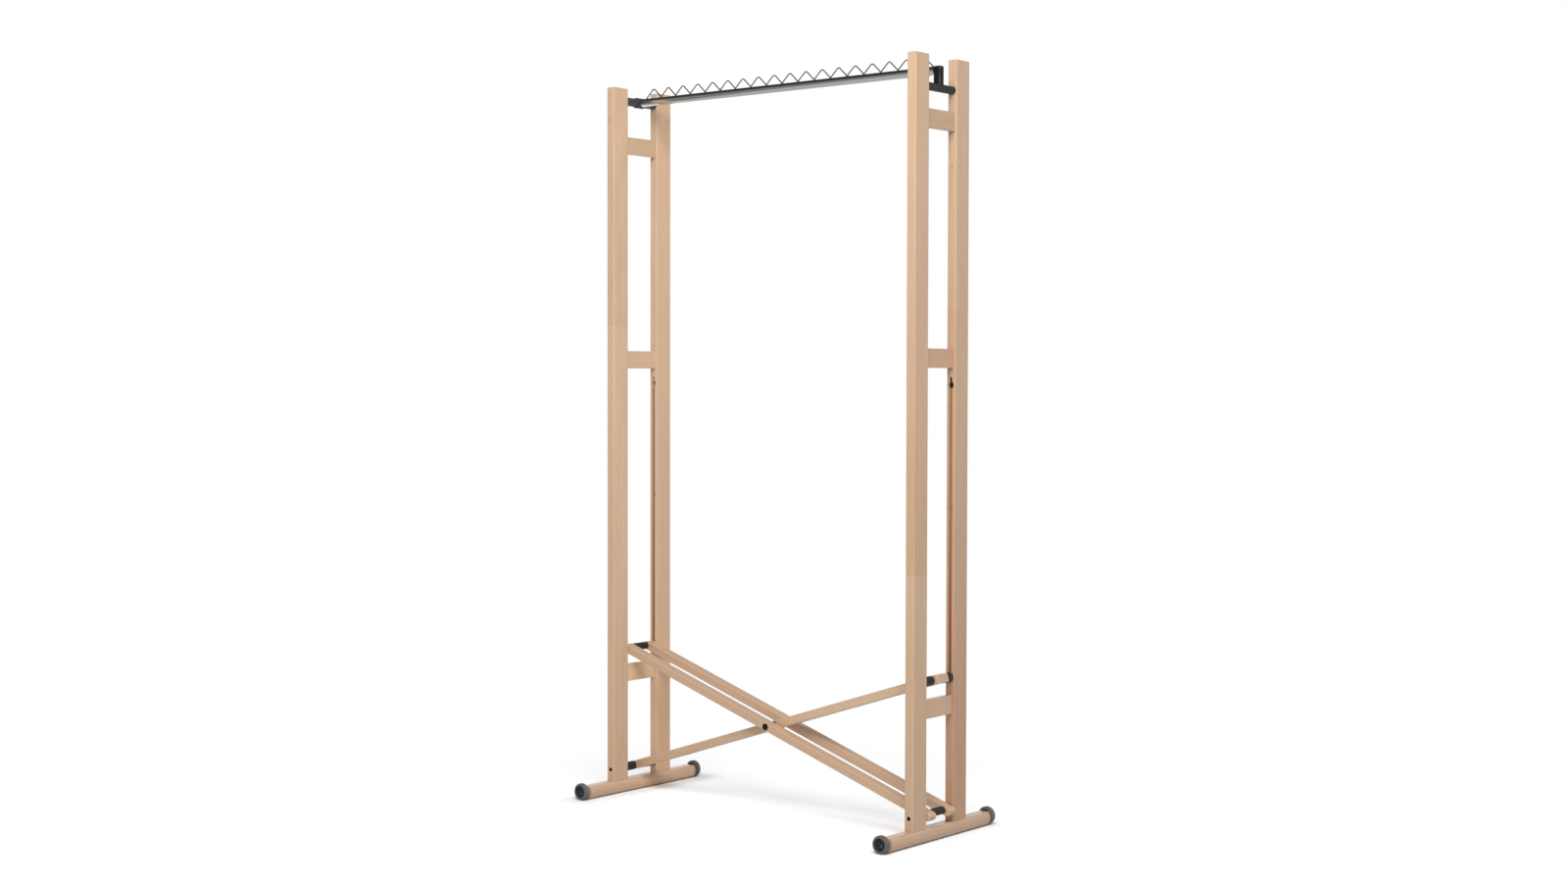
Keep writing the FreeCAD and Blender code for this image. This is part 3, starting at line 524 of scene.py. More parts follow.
@dataclass(frozen=True)
class Beech(Coating):
    """Clear-lacquered beech, with the grain and the looks of one board."""

    grain: Grain
    pith: Place
    board: Board = Board()
    groove: Groove | None = None
    rim: float = 0.0
    dark_ends: float | None = None
    dark_reach: float = 0.007
    dark_share: float = 0.85
    light: Colour = (0.765, 0.528, 0.355)
    dark: Colour = (0.605, 0.376, 0.226)
    # Colour of flecks, pores and knots, and of the painted shade at the foot bars' ends.
    fleck: Colour = (0.36, 0.19, 0.1)
    end: Colour = (0.58, 0.41, 0.285)
    ring_share: float = 0.16
    streak_share: float = 0.16
    mottle_share: float = 0.11
    line_share: float = 0.18
    drift_share: float = 0.18
    fleck_share: float = 0.34
    worn_gain: float = 1.07
    worn_share: float = 0.4
    pore_share: float = 0.45
    end_ring_share: float = 0.3
    end_share: float = 0.8
    knot_share: float = 0.6
    rough: float = 0.44
    line_rough: float = 0.12
    line_height: float = 0.5
    relief: float = 0.22
    relief_depth: float = 0.0003
    shine: float = 0.3
    coat: float = 1.0
    coat_rough: float = 0.16

    def upright(self, dress: Dress) -> tuple[Socket, Socket]:
        """Turns places and facings so that the grain stands upright.

        Args:
            dress: the material under construction.

        Returns:
            The board's own place, measured from its pith, and the facing.
        """
        turn = {"Rotation": self.grain.value}
        place = dress.sheet.add("Mapping", {"Vector": dress.place, "Location": self.pith, **turn})
        facing = dress.sheet.add("Mapping", {"Vector": dress.facing, **turn}, vector_type="VECTOR")
        return place.outputs[0], facing.outputs[0]

    def own(self, colour: Colour) -> Colour:
        """A colour of beech in this board's tone and tint."""
        return tuple(self.board.tone * tint * channel for tint, channel in zip(self.board.tint, colour))

    def clear_wood(self, sheet: Sheet, figure: Any, form: Any) -> Socket:
        """The colour of clear wood, with its rubbed edges and its end grain.

        Args:
            sheet: the node tree being drawn.
            figure: the masks of the wood's figure.
            form: the masks of edges and ends.

        Returns:
            The colour.
        """
        light = self.own(self.light)
        dark = self.own(self.dark)
        shade = sheet.times(figure["Rings"], self.ring_share)
        for mask, share in (("Streaks", self.streak_share), ("Mottle", self.mottle_share),
                            ("Lines", self.line_share), ("Drift", self.drift_share)):
            shade = sheet.plus(shade, sheet.times(figure[mask], share))
        colour = sheet.mix(shade, light, dark)
        colour = sheet.mix(sheet.times(figure["Flecks"], self.fleck_share), colour, self.fleck)
        # Rounded edges are lighter: partly wear, partly a painted highlight.
        worn_and_highlit = tuple(min(channel * self.worn_gain, 1.0) for channel in light)
        colour = sheet.mix(sheet.times(form["Edge"], self.worn_share), colour, worn_and_highlit)
        end_grain = sheet.mix(sheet.times(figure["Pores"], self.pore_share), self.end, self.fleck)
        end_grain = sheet.mix(sheet.times(figure["Rings"], self.end_ring_share), end_grain, dark)
        return sheet.mix(sheet.times(form["End"], self.end_share), colour, end_grain)

    def marked(self, dress: Dress, place: Socket, knot_effect: bpy.types.NodeTree, colour: Socket) -> Socket:
        """Adds the board's changes of tone, the painted shade of the tyres at a foot bar's ends, and knots.

        Args:
            dress: the material under construction.
            place: the board's own place, with the grain upright.
            knot_effect: the shared effect of a knot.
            colour: the board's colour so far.

        Returns:
            The colour with these in it.
        """
        sheet = dress.sheet
        along = sheet.parts(dress.place)
        for drift in self.board.drifts:
            share = sheet.drop(along[drift.axis], drift.full, drift.start)
            colour = sheet.mix(share, colour, drift.tint, "MULTIPLY")
        # Painted shade of the tyres: the last few millimetres at each end of a foot bar are darker.
        if self.dark_ends is not None:
            start = self.dark_ends - self.dark_reach
            share = sheet.fade(sheet.math("ABSOLUTE", along[1]), start, self.dark_ends, 0.0, self.dark_share)
            colour = sheet.mix(share, colour, self.fleck)
        turned = Euler(self.grain.value).to_matrix()
        for knot in self.board.knots:
            centre = tuple(turned @ Vector(knot.centre) + Vector(self.pith))
            mask = sheet.group(knot_effect, Place=place, Centre=centre, Size=knot.size)["Knot"]
            colour = sheet.mix(sheet.times(mask, self.knot_share), colour, self.fleck)
        return colour

    def draw(self, dress: Dress, effects: Effects) -> None:
        """Draws the board.

        Args:
            dress: the material under construction.
            effects: the shared effects.
        """
        sheet = dress.sheet
        place, facing = self.upright(dress)
        figure = sheet.group(effects.figure, Place=place)
        form = sheet.group(effects.rounding, Facing=facing)
        colour = self.clear_wood(sheet, figure, form)
        # A darker rim around end faces; on the foot bars it is painted shade of the tyres.
        if self.rim > 0.0:
            colour = sheet.mix(sheet.times(form["Rim"], self.rim), colour, self.fleck)
        colour = self.marked(dress, place, effects.knot, colour)
        if self.groove is not None:
            colour = self.groove.paint(dress, colour)
        gloss = sheet.plus(sheet.times(figure["Lines"], self.line_rough), self.rough)
        height = sheet.math("SUBTRACT", sheet.times(figure["Lines"], self.line_height), figure["Flecks"])
        dress.set(Base_Color=colour, Roughness=gloss, Specular_IOR_Level=self.shine)
        dress.set(Coat_Weight=self.coat, Coat_Roughness=self.coat_rough)
        dress.bump(height, self.relief, self.relief_depth)


@dataclass(frozen=True)
class MouldedBlack(Coating):
    """Black satin plastic with a fine moulded texture, paler on rounded edges: wear on most pieces, a
    painted highlight on the hook.
    """

    base: Colour = (0.021, 0.021, 0.022)
    # Colour of the rounded edges: wear, and on the hook a painted highlight.
    rubbed: Colour = (0.06, 0.06, 0.063)
    shine: float = 0.35
    crisp: float = 1.0
    rub: Span = (0.25, 0.7)
    cloud_gain: float = 1.35
    rough: float = 0.38
    cloud_rough: float = 0.12
    fineness: float = 1900.0
    relief: float = 0.1
    relief_depth: float = 0.0002

    def draw(self, dress: Dress, effects: Effects) -> None:
        """Draws the plastic.

        Args:
            dress: the material under construction.
            effects: the shared effects.
        """
        sheet = dress.sheet
        form = sheet.group(effects.rounding, Facing=dress.facing)
        mottle = sheet.group(effects.mottle, Place=dress.place, Fineness=self.fineness)
        edge = sheet.math("POWER", form["Edge"], self.crisp)
        # Paler rounded edges: wear, and on the hook a painted highlight.
        rub = sheet.times(edge, sheet.fade(mottle["Cloud"], 0.0, 1.0, *self.rub))
        cloud = tuple(channel * self.cloud_gain for channel in self.base)
        colour = sheet.mix(mottle["Cloud"], self.base, cloud)
        colour = sheet.mix(rub, colour, self.rubbed)
        rough = sheet.plus(sheet.times(mottle["Cloud"], self.cloud_rough), self.rough)
        dress.set(Base_Color=colour, Roughness=rough, Specular_IOR_Level=self.shine)
        dress.bump(mottle["Grit"], self.relief, self.relief_depth)


@dataclass(frozen=True)
class PlatedSteel(Coating):
    """Plated or blackened steel, with fine lines along its length, duller clouds and, where a rim colour is
    given, a painted highlight on rounded edges.
    """

    base: Colour
    dull: Colour
    rough: float
    spread: float
    lines: Place
    # Colour of a painted highlight on rounded edges.
    rim: Colour | None = None
    relief: float = 0.04
    relief_depth: float = 0.0001
    dull_share: float = 0.6
    fineness: float = 900.0
    smooth: float = 2.0

    def draw(self, dress: Dress, effects: Effects) -> None:
        """Draws the steel.

        Args:
            dress: the material under construction.
            effects: the shared effects.
        """
        sheet = dress.sheet
        mottle = sheet.group(effects.mottle, Place=dress.place, Fineness=self.fineness)
        line = sheet.noise(dress.place, self.lines, self.smooth)
        haze = sheet.times(sheet.plus(mottle["Cloud"], line), 0.5)
        rough = sheet.plus(sheet.times(haze, self.spread), self.rough)
        colour = sheet.mix(sheet.times(haze, self.dull_share), self.base, self.dull)
        # A painted highlight on rounded edges, such as a screw head's rim.
        if self.rim is not None:
            form = sheet.group(effects.rounding, Facing=dress.facing)
            colour = sheet.mix(form["Edge"], colour, self.rim)
        dress.set(Base_Color=colour, Roughness=rough, Metallic=1.0)
        dress.bump(line, self.relief, self.relief_depth)


@dataclass(frozen=True)
class SoftTyre(Coating):
    """Matt grey tyre, dustier on its tread, with a fine skin."""

    base: Colour = (0.113, 0.117, 0.123)
    dust: Colour = (0.24, 0.24, 0.237)
    flank: Span = (0.2, 0.8)
    tread_share: float = 0.45
    grit_share: float = 0.25
    rough: float = 0.6
    cloud_rough: float = 0.15
    fineness: float = 1500.0
    relief: float = 0.16
    relief_depth: float = 0.0003

    def draw(self, dress: Dress, effects: Effects) -> None:
        """Draws the tyre.

        Args:
            dress: the material under construction.
            effects: the shared effects.
        """
        sheet = dress.sheet
        mottle = sheet.group(effects.mottle, Place=dress.place, Fineness=self.fineness)
        sideways = sheet.math("ABSOLUTE", sheet.parts(dress.facing)[1])
        tread = sheet.times(sheet.drop(sideways, *self.flank), mottle["Cloud"])
        shade = sheet.times(tread, self.tread_share)
        shade = sheet.plus(shade, sheet.times(mottle["Grit"], self.grit_share))
        rough = sheet.plus(sheet.times(mottle["Cloud"], self.cloud_rough), self.rough)
        dress.set(Base_Color=sheet.mix(shade, self.base, self.dust), Roughness=rough)
        dress.bump(mottle["Grit"], self.relief, self.relief_depth)


LINES_ALONG_X: Place = (6.0, 900.0, 900.0)
LINES_ALONG_Y: Place = (900.0, 6.0, 900.0)
NO_LINES: Place = (500.0, 500.0, 500.0)


class Finish(Enum):
    """The finishes that several pieces share; a material takes its name from here."""

    BLACK_PLASTIC = MouldedBlack()
    # The hook's pale line along its rounded corners is a painted edge highlight.
    HANDLED_BLACK = MouldedBlack((0.011, 0.011, 0.0115), (0.3, 0.3, 0.31), shine=0.16, crisp=3.0)
    # A paler copy of the black plastic, on the left crossbar and the rail's knuckle.
    FADED_BLACK = MouldedBlack((0.052, 0.053, 0.056), (0.1, 0.1, 0.104))
    TYRE = SoftTyre()
    CHROME = PlatedSteel((0.70, 0.71, 0.72), (0.64, 0.65, 0.66), 0.09, 0.06, LINES_ALONG_X, relief=0.01)
    # The wire's base is much darker than the tube's chrome: painted shade for the darker look of the thin
    # wire.
    BRIGHT_WIRE = PlatedSteel((0.26, 0.26, 0.27), (0.2, 0.2, 0.205), 0.14, 0.1, LINES_ALONG_X)
    ZINC_PLATE = PlatedSteel((0.62, 0.62, 0.63), (0.46, 0.46, 0.47), 0.24, 0.18, LINES_ALONG_Y)
    # The axle screws' pale rim is a painted highlight ring.
    DARKENED_STEEL = PlatedSteel((0.07, 0.07, 0.072), (0.04, 0.04, 0.041), 0.28, 0.16, LINES_ALONG_Y,
                                 rim=(0.9, 0.9, 0.91))
    BLACKENED_STEEL = PlatedSteel((0.05, 0.05, 0.052), (0.03, 0.03, 0.031), 0.34, 0.16, LINES_ALONG_Y)
    BRIGHT_WELD = PlatedSteel((0.86, 0.85, 0.84), (0.74, 0.72, 0.7), 0.3, 0.25, NO_LINES)


class Wardrobe:
    """The part's nodes and the finishes that they can be given."""

    def __init__(self, nodes: dict[str, bpy.types.Object]) -> None:
        """Builds the shared effects and finishes.

        Args:
            nodes: the part's objects, by the names of their nodes.
        """
        self.nodes = nodes
        self.effects = Effects()
        self.shared = {finish: finish.value.material(finish.name.lower(), self.effects) for finish in Finish}

    def put(self, node: str, material: bpy.types.Material) -> None:
        """Puts a material on a node of the part and reports it.

        Args:
            node: the node's name.
            material: what it is to wear.
        """
        mesh = self.nodes[node].data
        mesh.materials.clear()
        mesh.materials.append(material)
        LOG.info("%s wears %s", node, material.name)

    def give(self, node: str, finish: Finish) -> None:
        """Gives a node one of the shared finishes."""
        self.put(node, self.shared[finish])

    def board(self, node: str, beech: Beech) -> None:
        """Gives a node its own board of beech."""
        self.put(node, beech.material("beech_" + node, self.effects))


LEFT_BOARDS: dict[str, Board] = {
    "front_post": Board(
        1.06,
        knots=(Knot((-0.4728, -0.105, 1.7592), 0.0022), Knot((-0.4678, -0.105, 1.7073), 0.0022),
               Knot((-0.4706, -0.105, 1.6987), 0.0024), Knot((-0.4742, -0.105, 1.5826), 0.0024),
               Knot((-0.4709, -0.105, 1.5518), 0.0028)),
        drifts=(Drift((1.04, 1.09, 1.1), 1.183, 1.18), Drift((0.97, 0.935, 0.92), 0.97, 0.47)),
    ),
    # The left rear post is lighter toward its foot: painted light that lifts the braces' shadow there.
    "rear_post": Board(1.095, knots=(Knot((-0.454, 0.1015, 1.7134), 0.0042),),
                       drifts=(Drift((1.16, 1.12, 1.06), 0.48, 0.25),)),
    "upper_rail": Board(0.99),
    # The left middle and lower rails' raised tones are painted light that lifts the braces' shade on them.
    "middle_rail": Board(1.09),
    "lower_rail": Board(1.22, (1.05, 1.04, 0.94)),
    # The left foot bar is lighter toward its rear: painted light that lifts the braces' shadow there.
    "foot": Board(1.02, drifts=(Drift((1.17, 1.16, 1.15), -0.12, 0.1, axis=1),)),
}
RIGHT_BOARDS: dict[str, Board] = {
    "front_post": Board(0.945, drifts=(Drift((1.0, 0.97, 0.92), 1.24, 0.8),
                                       Drift((1.05, 1.12, 1.18), 0.6115, 0.6085),
                                       Drift((0.96, 0.94, 0.92), 0.58, 0.36))),
    # The right rear post's second change of tone, darker and warmer toward its foot, is painted shade.
    "rear_post": Board(0.93, knots=(Knot((0.4659, 0.053, 1.5363), 0.0032),
                                    Knot((0.478, 0.068, 1.5362), 0.0036)),
                       drifts=(Drift((0.985, 0.965, 0.95), 1.2135, 1.2105),
                               Drift((0.9, 0.79, 0.735), 0.95, 0.1))),
    "upper_rail": Board(0.88, (0.955, 0.935, 0.9)),
    "middle_rail": Board(0.93, (1.0, 0.92, 0.84)),
    "foot": Board(0.92),
}
FRAME_GRAINS: dict[str, Grain] = {
    "front_post": Grain.UPRIGHT,
    "rear_post": Grain.UPRIGHT,
    "upper_rail": Grain.FRONT_TO_REAR,
    "middle_rail": Grain.FRONT_TO_REAR,
    "lower_rail": Grain.FRONT_TO_REAR,
    "foot": Grain.FRONT_TO_REAR,
    "rail_dowels": Grain.FRONT_TO_REAR,
    "post_dowels": Grain.UPRIGHT,
}


@dataclass
class LadderFrame:
    """One ladder frame: posts, rails, foot bar, crossbar and their fasteners."""

    side: Side
    boards: dict[str, Board]
    keyhole: Keyhole
    crossbar: Finish
    first_swing: float = 0.0
    pith_swing: float = 1.3
    pith_gap: float = 0.11
    pith_step: float = 0.017
    pith_rise: float = 0.37
    end_rim: float = 0.6
    foot_end: float = 0.196

    def beech(self, piece: str, grain: Grain, order: int) -> Beech:
        """One board's beech.

        Args:
            piece: the node's name without its side.
            grain: which way the grain runs.
            order: the board's number in the frame, which sets where its pith lies.

        Returns:
            The board's finish.
        """
        swing = self.pith_swing * order + self.first_swing
        reach = self.pith_gap + self.pith_step * order
        pith = (reach * math.cos(swing) - self.side.x, reach * math.sin(swing), self.pith_rise * order)
        groove = Groove(self.side.x, self.keyhole) if piece.endswith("post") else None
        # A darker rim around end faces; on the foot bars it is painted shade of the tyres.
        rim = self.end_rim if piece.endswith(("post", "foot")) else 0.0
        dark_ends = self.foot_end if piece == "foot" else None
        return Beech(grain, pith, self.boards.get(piece, Board()), groove, rim, dark_ends)

    def dress(self, wardrobe: Wardrobe) -> None:
        """Gives every piece of the frame its finish.

        Args:
            wardrobe: the part's nodes and the finishes.
        """
        for order, (piece, grain) in enumerate(FRAME_GRAINS.items()):
            wardrobe.board(f"{self.side.word}_{piece}", self.beech(piece, grain, order))
        wardrobe.give(f"{self.side.word}_crossbar", self.crossbar)
        for piece in ("pivot_bolt", "pivot_nut"):
            wardrobe.give(f"{self.side.word}_{piece}", Finish.BLACKENED_STEEL)
        wardrobe.give(f"{self.side.word}_axle_screws", Finish.DARKENED_STEEL)


@dataclass
class Rollers:
    """The four rollers: a soft tyre on a hard hub each."""

    ends: tuple[str, ...] = ("front", "rear")

    def dress(self, wardrobe: Wardrobe) -> None:
        """Gives every tyre and hub its finish.

        Args:
            wardrobe: the part's nodes and the finishes.
        """
        for side in Side:
            for end in self.ends:
                wardrobe.give(f"{side.word}_{end}_tyre", Finish.TYRE)
                wardrobe.give(f"{side.word}_{end}_hub", Finish.BLACK_PLASTIC)


WIDE_BOARD = Board(1.06, (1.0, 1.04, 1.05), drifts=(Drift((0.935, 0.912, 0.86), 0.05, -0.3, axis=0),))


@dataclass
class Braces:
    """The crossing braces with their pins, sleeves, spacers and washers."""

    wide: Beech = Beech(Grain.WIDE_BRACE, (0.09, 0.06, 0.0), WIDE_BOARD)
    twin_front: Beech = Beech(Grain.TWIN_BRACE, (0.11, -0.07, 0.4), Board(1.02))
    twin_rear: Beech = Beech(Grain.TWIN_BRACE, (-0.1, 0.08, 0.9), Board(1.03))
    plastic: tuple[str, ...] = ("wide_pivot_sleeves", "wide_slider_sleeves", "twin_lower_spacer",
                                "twin_upper_spacer", "twin_pivot_washers", "centre_washers")
    rods: tuple[str, ...] = ("wide_slider_rod", "twin_slider_rod")
    bolts: tuple[str, ...] = ("centre_bolt", "centre_nut")

    def dress(self, wardrobe: Wardrobe) -> None:
        """Gives every piece of the braces its finish.

        Args:
            wardrobe: the part's nodes and the finishes.
        """
        wardrobe.board("wide_bar", self.wide)
        wardrobe.board("twin_front_bar", self.twin_front)
        wardrobe.board("twin_rear_bar", self.twin_rear)
        for names, finish in ((self.plastic, Finish.BLACK_PLASTIC), (self.rods, Finish.ZINC_PLATE),
                              (self.bolts, Finish.BLACKENED_STEEL)):
            for name in names:
                wardrobe.give(name, finish)


@dataclass
class HangingRail:
    """The chromed tube with its zigzag wire, end pieces and the spot welds that hold the wire."""

    first_tooth: float = -0.415
    tooth_pitch: float = 0.0494
    teeth: int = 18
    welds_every: int = 4
    tube_top: float = 1.760
    weld_long: float = 0.0042
    weld_wide: float = 0.0028
    weld_tall: float = 0.0034
    weld_root: float = 0.0007
    weld_rough: float = 0.0005
    weld_lump: float = 0.0022
    weld_segments: int = 24
    weld_rings: int = 16
    downward: float = -0.9
    sharp_angle: float = math.radians(50)

    def weld(self) -> bpy.types.Object:
        """Models one spot weld at the origin: a low rough bead with a root below it.

        Returns:
            The bead's object.
        """
        bpy.ops.object.select_all(action="DESELECT")
        bpy.ops.mesh.primitive_uv_sphere_add(segments=self.weld_segments, ring_count=self.weld_rings,
                                             radius=1.0)
        bead = bpy.context.object
        bpy.ops.object.mode_set(mode="EDIT")
        bpy.ops.mesh.select_all(action="SELECT")
        bpy.ops.mesh.bisect(plane_co=ORIGIN, plane_no=(0, 0, 1), use_fill=True, clear_inner=True)
        bpy.ops.mesh.select_all(action="SELECT")
        size = (self.weld_long, self.weld_wide, self.weld_tall)
        bpy.ops.transform.resize(value=size, center_override=ORIGIN)
        self.pick_faces(bead, lambda face: face.normal.z < self.downward)
        bpy.ops.mesh.extrude_region_move(TRANSFORM_OT_translate={"value": (0, 0, -self.weld_root)})
        bpy.ops.object.mode_set(mode="OBJECT")
        clouds = bpy.data.textures.new("weld_clouds", "CLOUDS")
        clouds.noise_scale = self.weld_lump
        rough = bead.modifiers.new("rough", "DISPLACE")
        rough.texture = clouds
        rough.strength = self.weld_rough
        bpy.ops.object.modifier_apply(modifier=rough.name)
        bpy.ops.object.shade_smooth_by_angle(angle=self.sharp_angle)
        return bead

    @staticmethod
    def pick_faces(piece: bpy.types.Object, wanted: Callable[[bpy.types.MeshPolygon], bool]) -> None:
        """Selects the faces of a piece in edit mode that a test picks, and no others.

        Args:
            piece: the object being edited.
            wanted: a function that takes a face and says yes or no.
        """
        bpy.ops.mesh.select_all(action="DESELECT")
        bpy.ops.object.mode_set(mode="OBJECT")
        for face in piece.data.polygons:
            face.select = wanted(face)
        bpy.ops.object.mode_set(mode="EDIT")
        bpy.ops.mesh.select_mode(type="FACE")

    def welds(self) -> bpy.types.Object:
        """Sets a bead in every fourth valley of the wire, as one piece.

        Returns:
            The joined beads, with their places in their mesh.
        """
        master = self.weld()
        beads = [master]
        for valley in range(self.welds_every, self.teeth - 1, self.welds_every):
            copy = master.copy()
            copy.data = master.data.copy()
            bpy.context.scene.collection.objects.link(copy)
            copy.location.x = valley * self.tooth_pitch
            beads.append(copy)
        bpy.ops.object.select_all(action="DESELECT")
        for bead in beads:
            bead.location.x += self.first_tooth + self.tooth_pitch / 2
            bead.location.z = self.tube_top
            bead.select_set(True)
        bpy.context.view_layer.objects.active = master
        bpy.ops.object.join()
        bpy.ops.object.transform_apply(location=True, rotation=True, scale=True)
        master.name = "wire_welds"
        return master

    def dress(self, wardrobe: Wardrobe) -> None:
        """Gives the rail's pieces their finishes and adds the welds.

        Args:
            wardrobe: the part's nodes and the finishes.
        """
        for name in ("rail_tube", "rail_screws"):
            wardrobe.give(name, Finish.CHROME)
        wardrobe.give("hanger_wire", Finish.BRIGHT_WIRE)
        wardrobe.give("rail_knuckle", Finish.FADED_BLACK)
        # The hook wears a painted highlight along its rounded corners.
        wardrobe.give("rail_hook", Finish.HANDLED_BLACK)
        welds = self.welds()
        welds.data.materials.append(wardrobe.shared[Finish.BRIGHT_WELD])
        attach(welds, "hanging_rail")
        LOG.info("%s rides on the hanging rail", welds.name)


@dataclass(frozen=True)
class Lamp:
    """A soft strip lamp: where it hangs, how wide and deep it is, its power and what it points at."""

    name: str
    place: Place
    wide: float
    deep: float
    power: float
    target: Place = (0.0, 0.0, 0.9)

    def hang(self) -> None:
        """Adds the lamp to the scene, its wide side level with the rail."""
        data = bpy.data.lights.new(self.name, "AREA")
        data.shape = "RECTANGLE"
        data.size = self.wide
        data.size_y = self.deep
        data.energy = self.power
        lamp = bpy.data.objects.new(self.name, data)
        bpy.context.scene.collection.objects.link(lamp)
        back = (Vector(self.place) - Vector(self.target)).normalized()
        along = (Vector((1.0, 0.0, 0.0)) - back * back.x).normalized()
        turn = Matrix((along, back.cross(along), back)).transposed().to_4x4()
        lamp.matrix_world = Matrix.Translation(self.place) @ turn
        lamp.visible_glossy = False


@dataclass(frozen=True)
class Floor:
    """A pale floor: its colours, where it keeps shadows, and how bright each part is in a mirror."""

    half: float = 14.0
    colour: Colour = (0.74, 0.74, 0.74)
    shown: Colour = (1.48, 1.5, 1.525)
    foot_shown: Colour = (1.2, 1.262, 1.3)
    foot_beside: Span = (0.03, 0.09)
    foot_along: Span = (0.22, 0.3)
    near_white: float = 0.5
    shadows: Span = (0.6, 1.05)
    front_mirrored: float = 0.34
    under_mirrored: float = 0.57
    front_to_under: Span = (-3.6, -0.2)
    back_added: float = 0.5
    under_to_back: Span = (1.8, 7.0)
    left_added: float = 0.6
    left_slant: float = 0.66
    left_edge: Span = (-1.6, -1.4)
    left_near: Span = (0.0, 0.4)
    corner_taken: float = 0.36
    corner_slant: float = -0.6
    corner_edge: Span = (-1.5, -1.15)
    corner_near: Span = (-1.6, -0.8)

    def near_feet(self, sheet: Sheet, place: Socket) -> Socket:
        """Where the floor lies under the two foot bars and close to them.

        Args:
            sheet: the node tree being drawn.
            place: places on the floor.

        Returns:
            A mask that is 1 under the foot bars and fades to 0 around them.
        """
        x, y, _ = sheet.parts(place)
        aside = sheet.math("SUBTRACT", sheet.math("ABSOLUTE", x), Side.RIGHT.x)
        beside = sheet.drop(sheet.math("ABSOLUTE", aside), *self.foot_beside)
        along = sheet.drop(sheet.math("ABSOLUTE", y), *self.foot_along)
        return sheet.times(beside, along)

    def mirrored(self, sheet: Sheet, place: Socket, backward: Place) -> Socket:
        """How bright the floor is in a mirror: paler behind and to the left, darker in front.

        Args:
            sheet: the node tree being drawn.
            place: places on the floor.
            backward: the level direction from the rack to the backdrop.

        Returns:
            The grey level.
        """
        x, y, _ = sheet.parts(place)
        behind = sheet.vector("DOT_PRODUCT", place, backward).outputs["Value"]
        level = sheet.fade(behind, *self.front_to_under, self.front_mirrored, self.under_mirrored)
        level = sheet.plus(level, sheet.fade(behind, *self.under_to_back, 0.0, self.back_added))
        leftward = sheet.plus(x, sheet.times(y, self.left_slant))
        left = sheet.times(sheet.fade(leftward, *self.left_edge, self.left_added, 0.0),
                           sheet.fade(y, *self.left_near))
        level = sheet.plus(level, left)
        cornerward = sheet.plus(x, sheet.times(y, self.corner_slant))
        corner = sheet.times(sheet.fade(cornerward, *self.corner_edge, self.corner_taken, 0.0),
                             sheet.drop(y, *self.corner_near))
        return sheet.math("SUBTRACT", level, corner)

    def lay(self, backward: Place) -> bpy.types.Object:
        """Lays the floor, white to the camera but keeping shadows near the rack.

        Args:
            backward: the level direction from the rack to the backdrop.

        Returns:
            The floor's object.
        """
        bpy.ops.object.select_all(action="DESELECT")
        bpy.ops.mesh.primitive_plane_add(size=2 * self.half, location=ORIGIN)
        floor = bpy.context.object
        floor.name = "floor"
        material = bpy.data.materials.new("pale_floor")
        material.use_nodes = True
        material.node_tree.nodes.clear()
        sheet = Sheet(material.node_tree)
        place = sheet.add("TexCoord").outputs["Object"]
        away = sheet.vector("LENGTH", place).outputs["Value"]
        feet = self.near_feet(sheet, place)
        white = sheet.fade(away, *self.shadows, self.near_white, 1.0)
        white = sheet.times(white, sheet.math("SUBTRACT", 1.0, feet))
        shown, mirror = sheet.seen()
        direct = sheet.math("SUBTRACT", shown, mirror)
        pale = sheet.mix(feet, self.shown, self.foot_shown)
        matt = sheet.add("BsdfDiffuse", {"Color": sheet.mix(direct, self.colour, pale)})
        glow_colour = sheet.mix(mirror, WHITE, self.mirrored(sheet, place, backward))
        glow = sheet.add("Emission", {"Color": glow_colour})
        layers = {0: sheet.times(shown, white), 1: matt.outputs[0], 2: glow.outputs[0]}
        sheet.add("OutputMaterial", {"Surface": sheet.add("MixShader", layers).outputs[0]})
        floor.data.materials.append(material)
        return floor


@dataclass(frozen=True)
class Surroundings:
    """An even sky, and the grey levels of backdrop and room in a mirror, from the horizon upward."""

    sky: Colour = (0.4, 0.4, 0.4)
    room: Stops = ((0.0, 0.36), (0.13, 0.28), (0.34, 0.17), (0.59, 0.06), (0.8, 0.03))
    backdrop: Stops = ((0.0, 0.95), (0.3, 0.8), (0.5, 0.25), (0.7, 0.04), (0.9, 0.03))
    backdrop_edge: Span = (0.0, 0.5)

    @staticmethod
    def shades(sheet: Sheet, height: Socket, stops: Stops) -> Socket:
        """Grey levels from the horizon upward.

        Args:
            sheet: the node tree being drawn.
            height: how far up a direction points, from 0 to 1.
            stops: pairs of height and grey level.

        Returns:
            The grey as a colour.
        """
        ramp = sheet.add("ValToRGB", {0: height})
        elements = ramp.color_ramp.elements
        for number, (where, level) in enumerate(stops):
            stop = elements[number] if number < 2 else elements.new(where)
            stop.position = where
            stop.color = (level, level, level, 1.0)
        return ramp.outputs[0]

    def set_up(self, backward: Place) -> None:
        """Sets the world, white to the camera; mirrors show a pale backdrop and a darker room.

        Args:
            backward: the level direction from the rack to the backdrop.
        """
        world = bpy.data.worlds.new("studio")
        bpy.context.scene.world = world
        world.use_nodes = True
        world.node_tree.nodes.clear()
        sheet = Sheet(world.node_tree)
        direction = sheet.add("TexCoord").outputs["Generated"]
        height = sheet.parts(direction)[2]
        room = self.shades(sheet, height, self.room)
        backdrop = self.shades(sheet, height, self.backdrop)
        behind = sheet.vector("DOT_PRODUCT", direction, backward).outputs["Value"]
        mirrored = sheet.mix(sheet.fade(behind, *self.backdrop_edge), room, backdrop)
        shown, mirror = sheet.seen()
        colour = sheet.mix(shown, self.sky, sheet.mix(mirror, WHITE, mirrored))
        sheet.add("OutputWorld", {"Surface": sheet.add("Background", {"Color": colour}).outputs[0]})


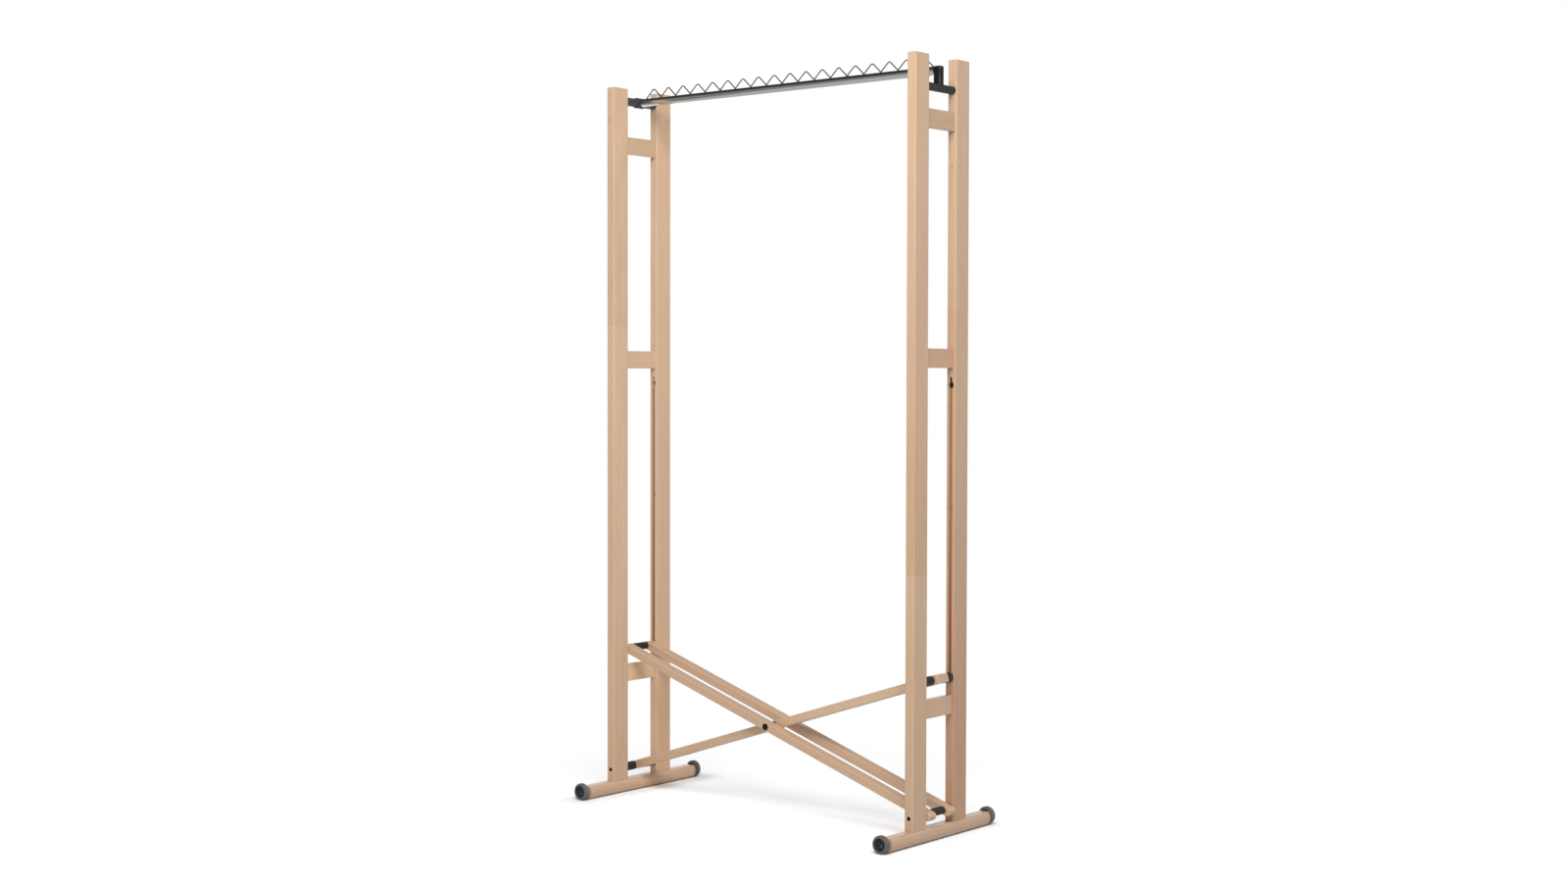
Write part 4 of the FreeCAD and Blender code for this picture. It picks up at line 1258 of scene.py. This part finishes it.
@dataclass(frozen=True)
class Viewpoint:
    """The camera as it stood in the photograph: its place, its turns in degrees, and its lens."""

    place: Place = (3.2624, -3.9393, 1.0540)
    yaw: float = 39.513
    pitch: float = 1.716
    roll: float = 0.124
    lens: float = 48.63
    sensor: float = 36.0

    def backward(self) -> Place:
        """The level direction from the rack to the backdrop behind it."""
        yaw = math.radians(self.yaw)
        return (-math.sin(yaw), math.cos(yaw), 0.0)

    def set_up(self) -> None:
        """Adds the camera to the scene."""
        yaw, pitch, roll = (math.radians(angle) for angle in (self.yaw, self.pitch, self.roll))
        flat = math.cos(pitch)
        ahead = Vector((-math.sin(yaw) * flat, math.cos(yaw) * flat, -math.sin(pitch)))
        level = Vector((math.cos(yaw), math.sin(yaw), 0.0))
        over = level.cross(ahead)
        right = level * math.cos(roll) + over * math.sin(roll)
        up = over * math.cos(roll) - level * math.sin(roll)
        data = bpy.data.cameras.new("camera")
        data.lens = self.lens
        data.sensor_width = self.sensor
        data.sensor_fit = "HORIZONTAL"
        camera = bpy.data.objects.new("camera", data)
        bpy.context.scene.collection.objects.link(camera)
        turn = Matrix((right, up, -ahead)).transposed().to_4x4()
        camera.matrix_world = Matrix.Translation(self.place) @ turn
        bpy.context.scene.camera = camera


@dataclass
class Studio:
    """A pale floor, soft light and a camera at the photograph's angle."""

    floor: Floor = Floor()
    key: Lamp = Lamp("key", place=(1.6, -1.95, 3.0), wide=2.5, deep=1.6, power=89.0)
    surroundings: Surroundings = Surroundings()
    viewpoint: Viewpoint = Viewpoint()

    def build(self) -> None:
        """Sets up the floor, lamp, world and camera."""
        backward = self.viewpoint.backward()
        self.floor.lay(backward)
        self.key.hang()
        self.surroundings.set_up(backward)
        self.viewpoint.set_up()
        bpy.context.scene.view_settings.view_transform = "Standard"


def main() -> None:
    """Loads the part, dresses it piece by piece and sets the studio."""
    logging.basicConfig(level=logging.INFO, format="%(message)s")
    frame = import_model()
    wardrobe = Wardrobe(frame["nodes"])
    LadderFrame(Side.LEFT, LEFT_BOARDS, Keyhole.LIT, Finish.FADED_BLACK, first_swing=0.6).dress(wardrobe)
    LadderFrame(Side.RIGHT, RIGHT_BOARDS, Keyhole.SHADED, Finish.BLACK_PLASTIC).dress(wardrobe)
    Rollers().dress(wardrobe)
    Braces().dress(wardrobe)
    HangingRail().dress(wardrobe)
    Studio().build()


if __name__ == "__main__":
    main()
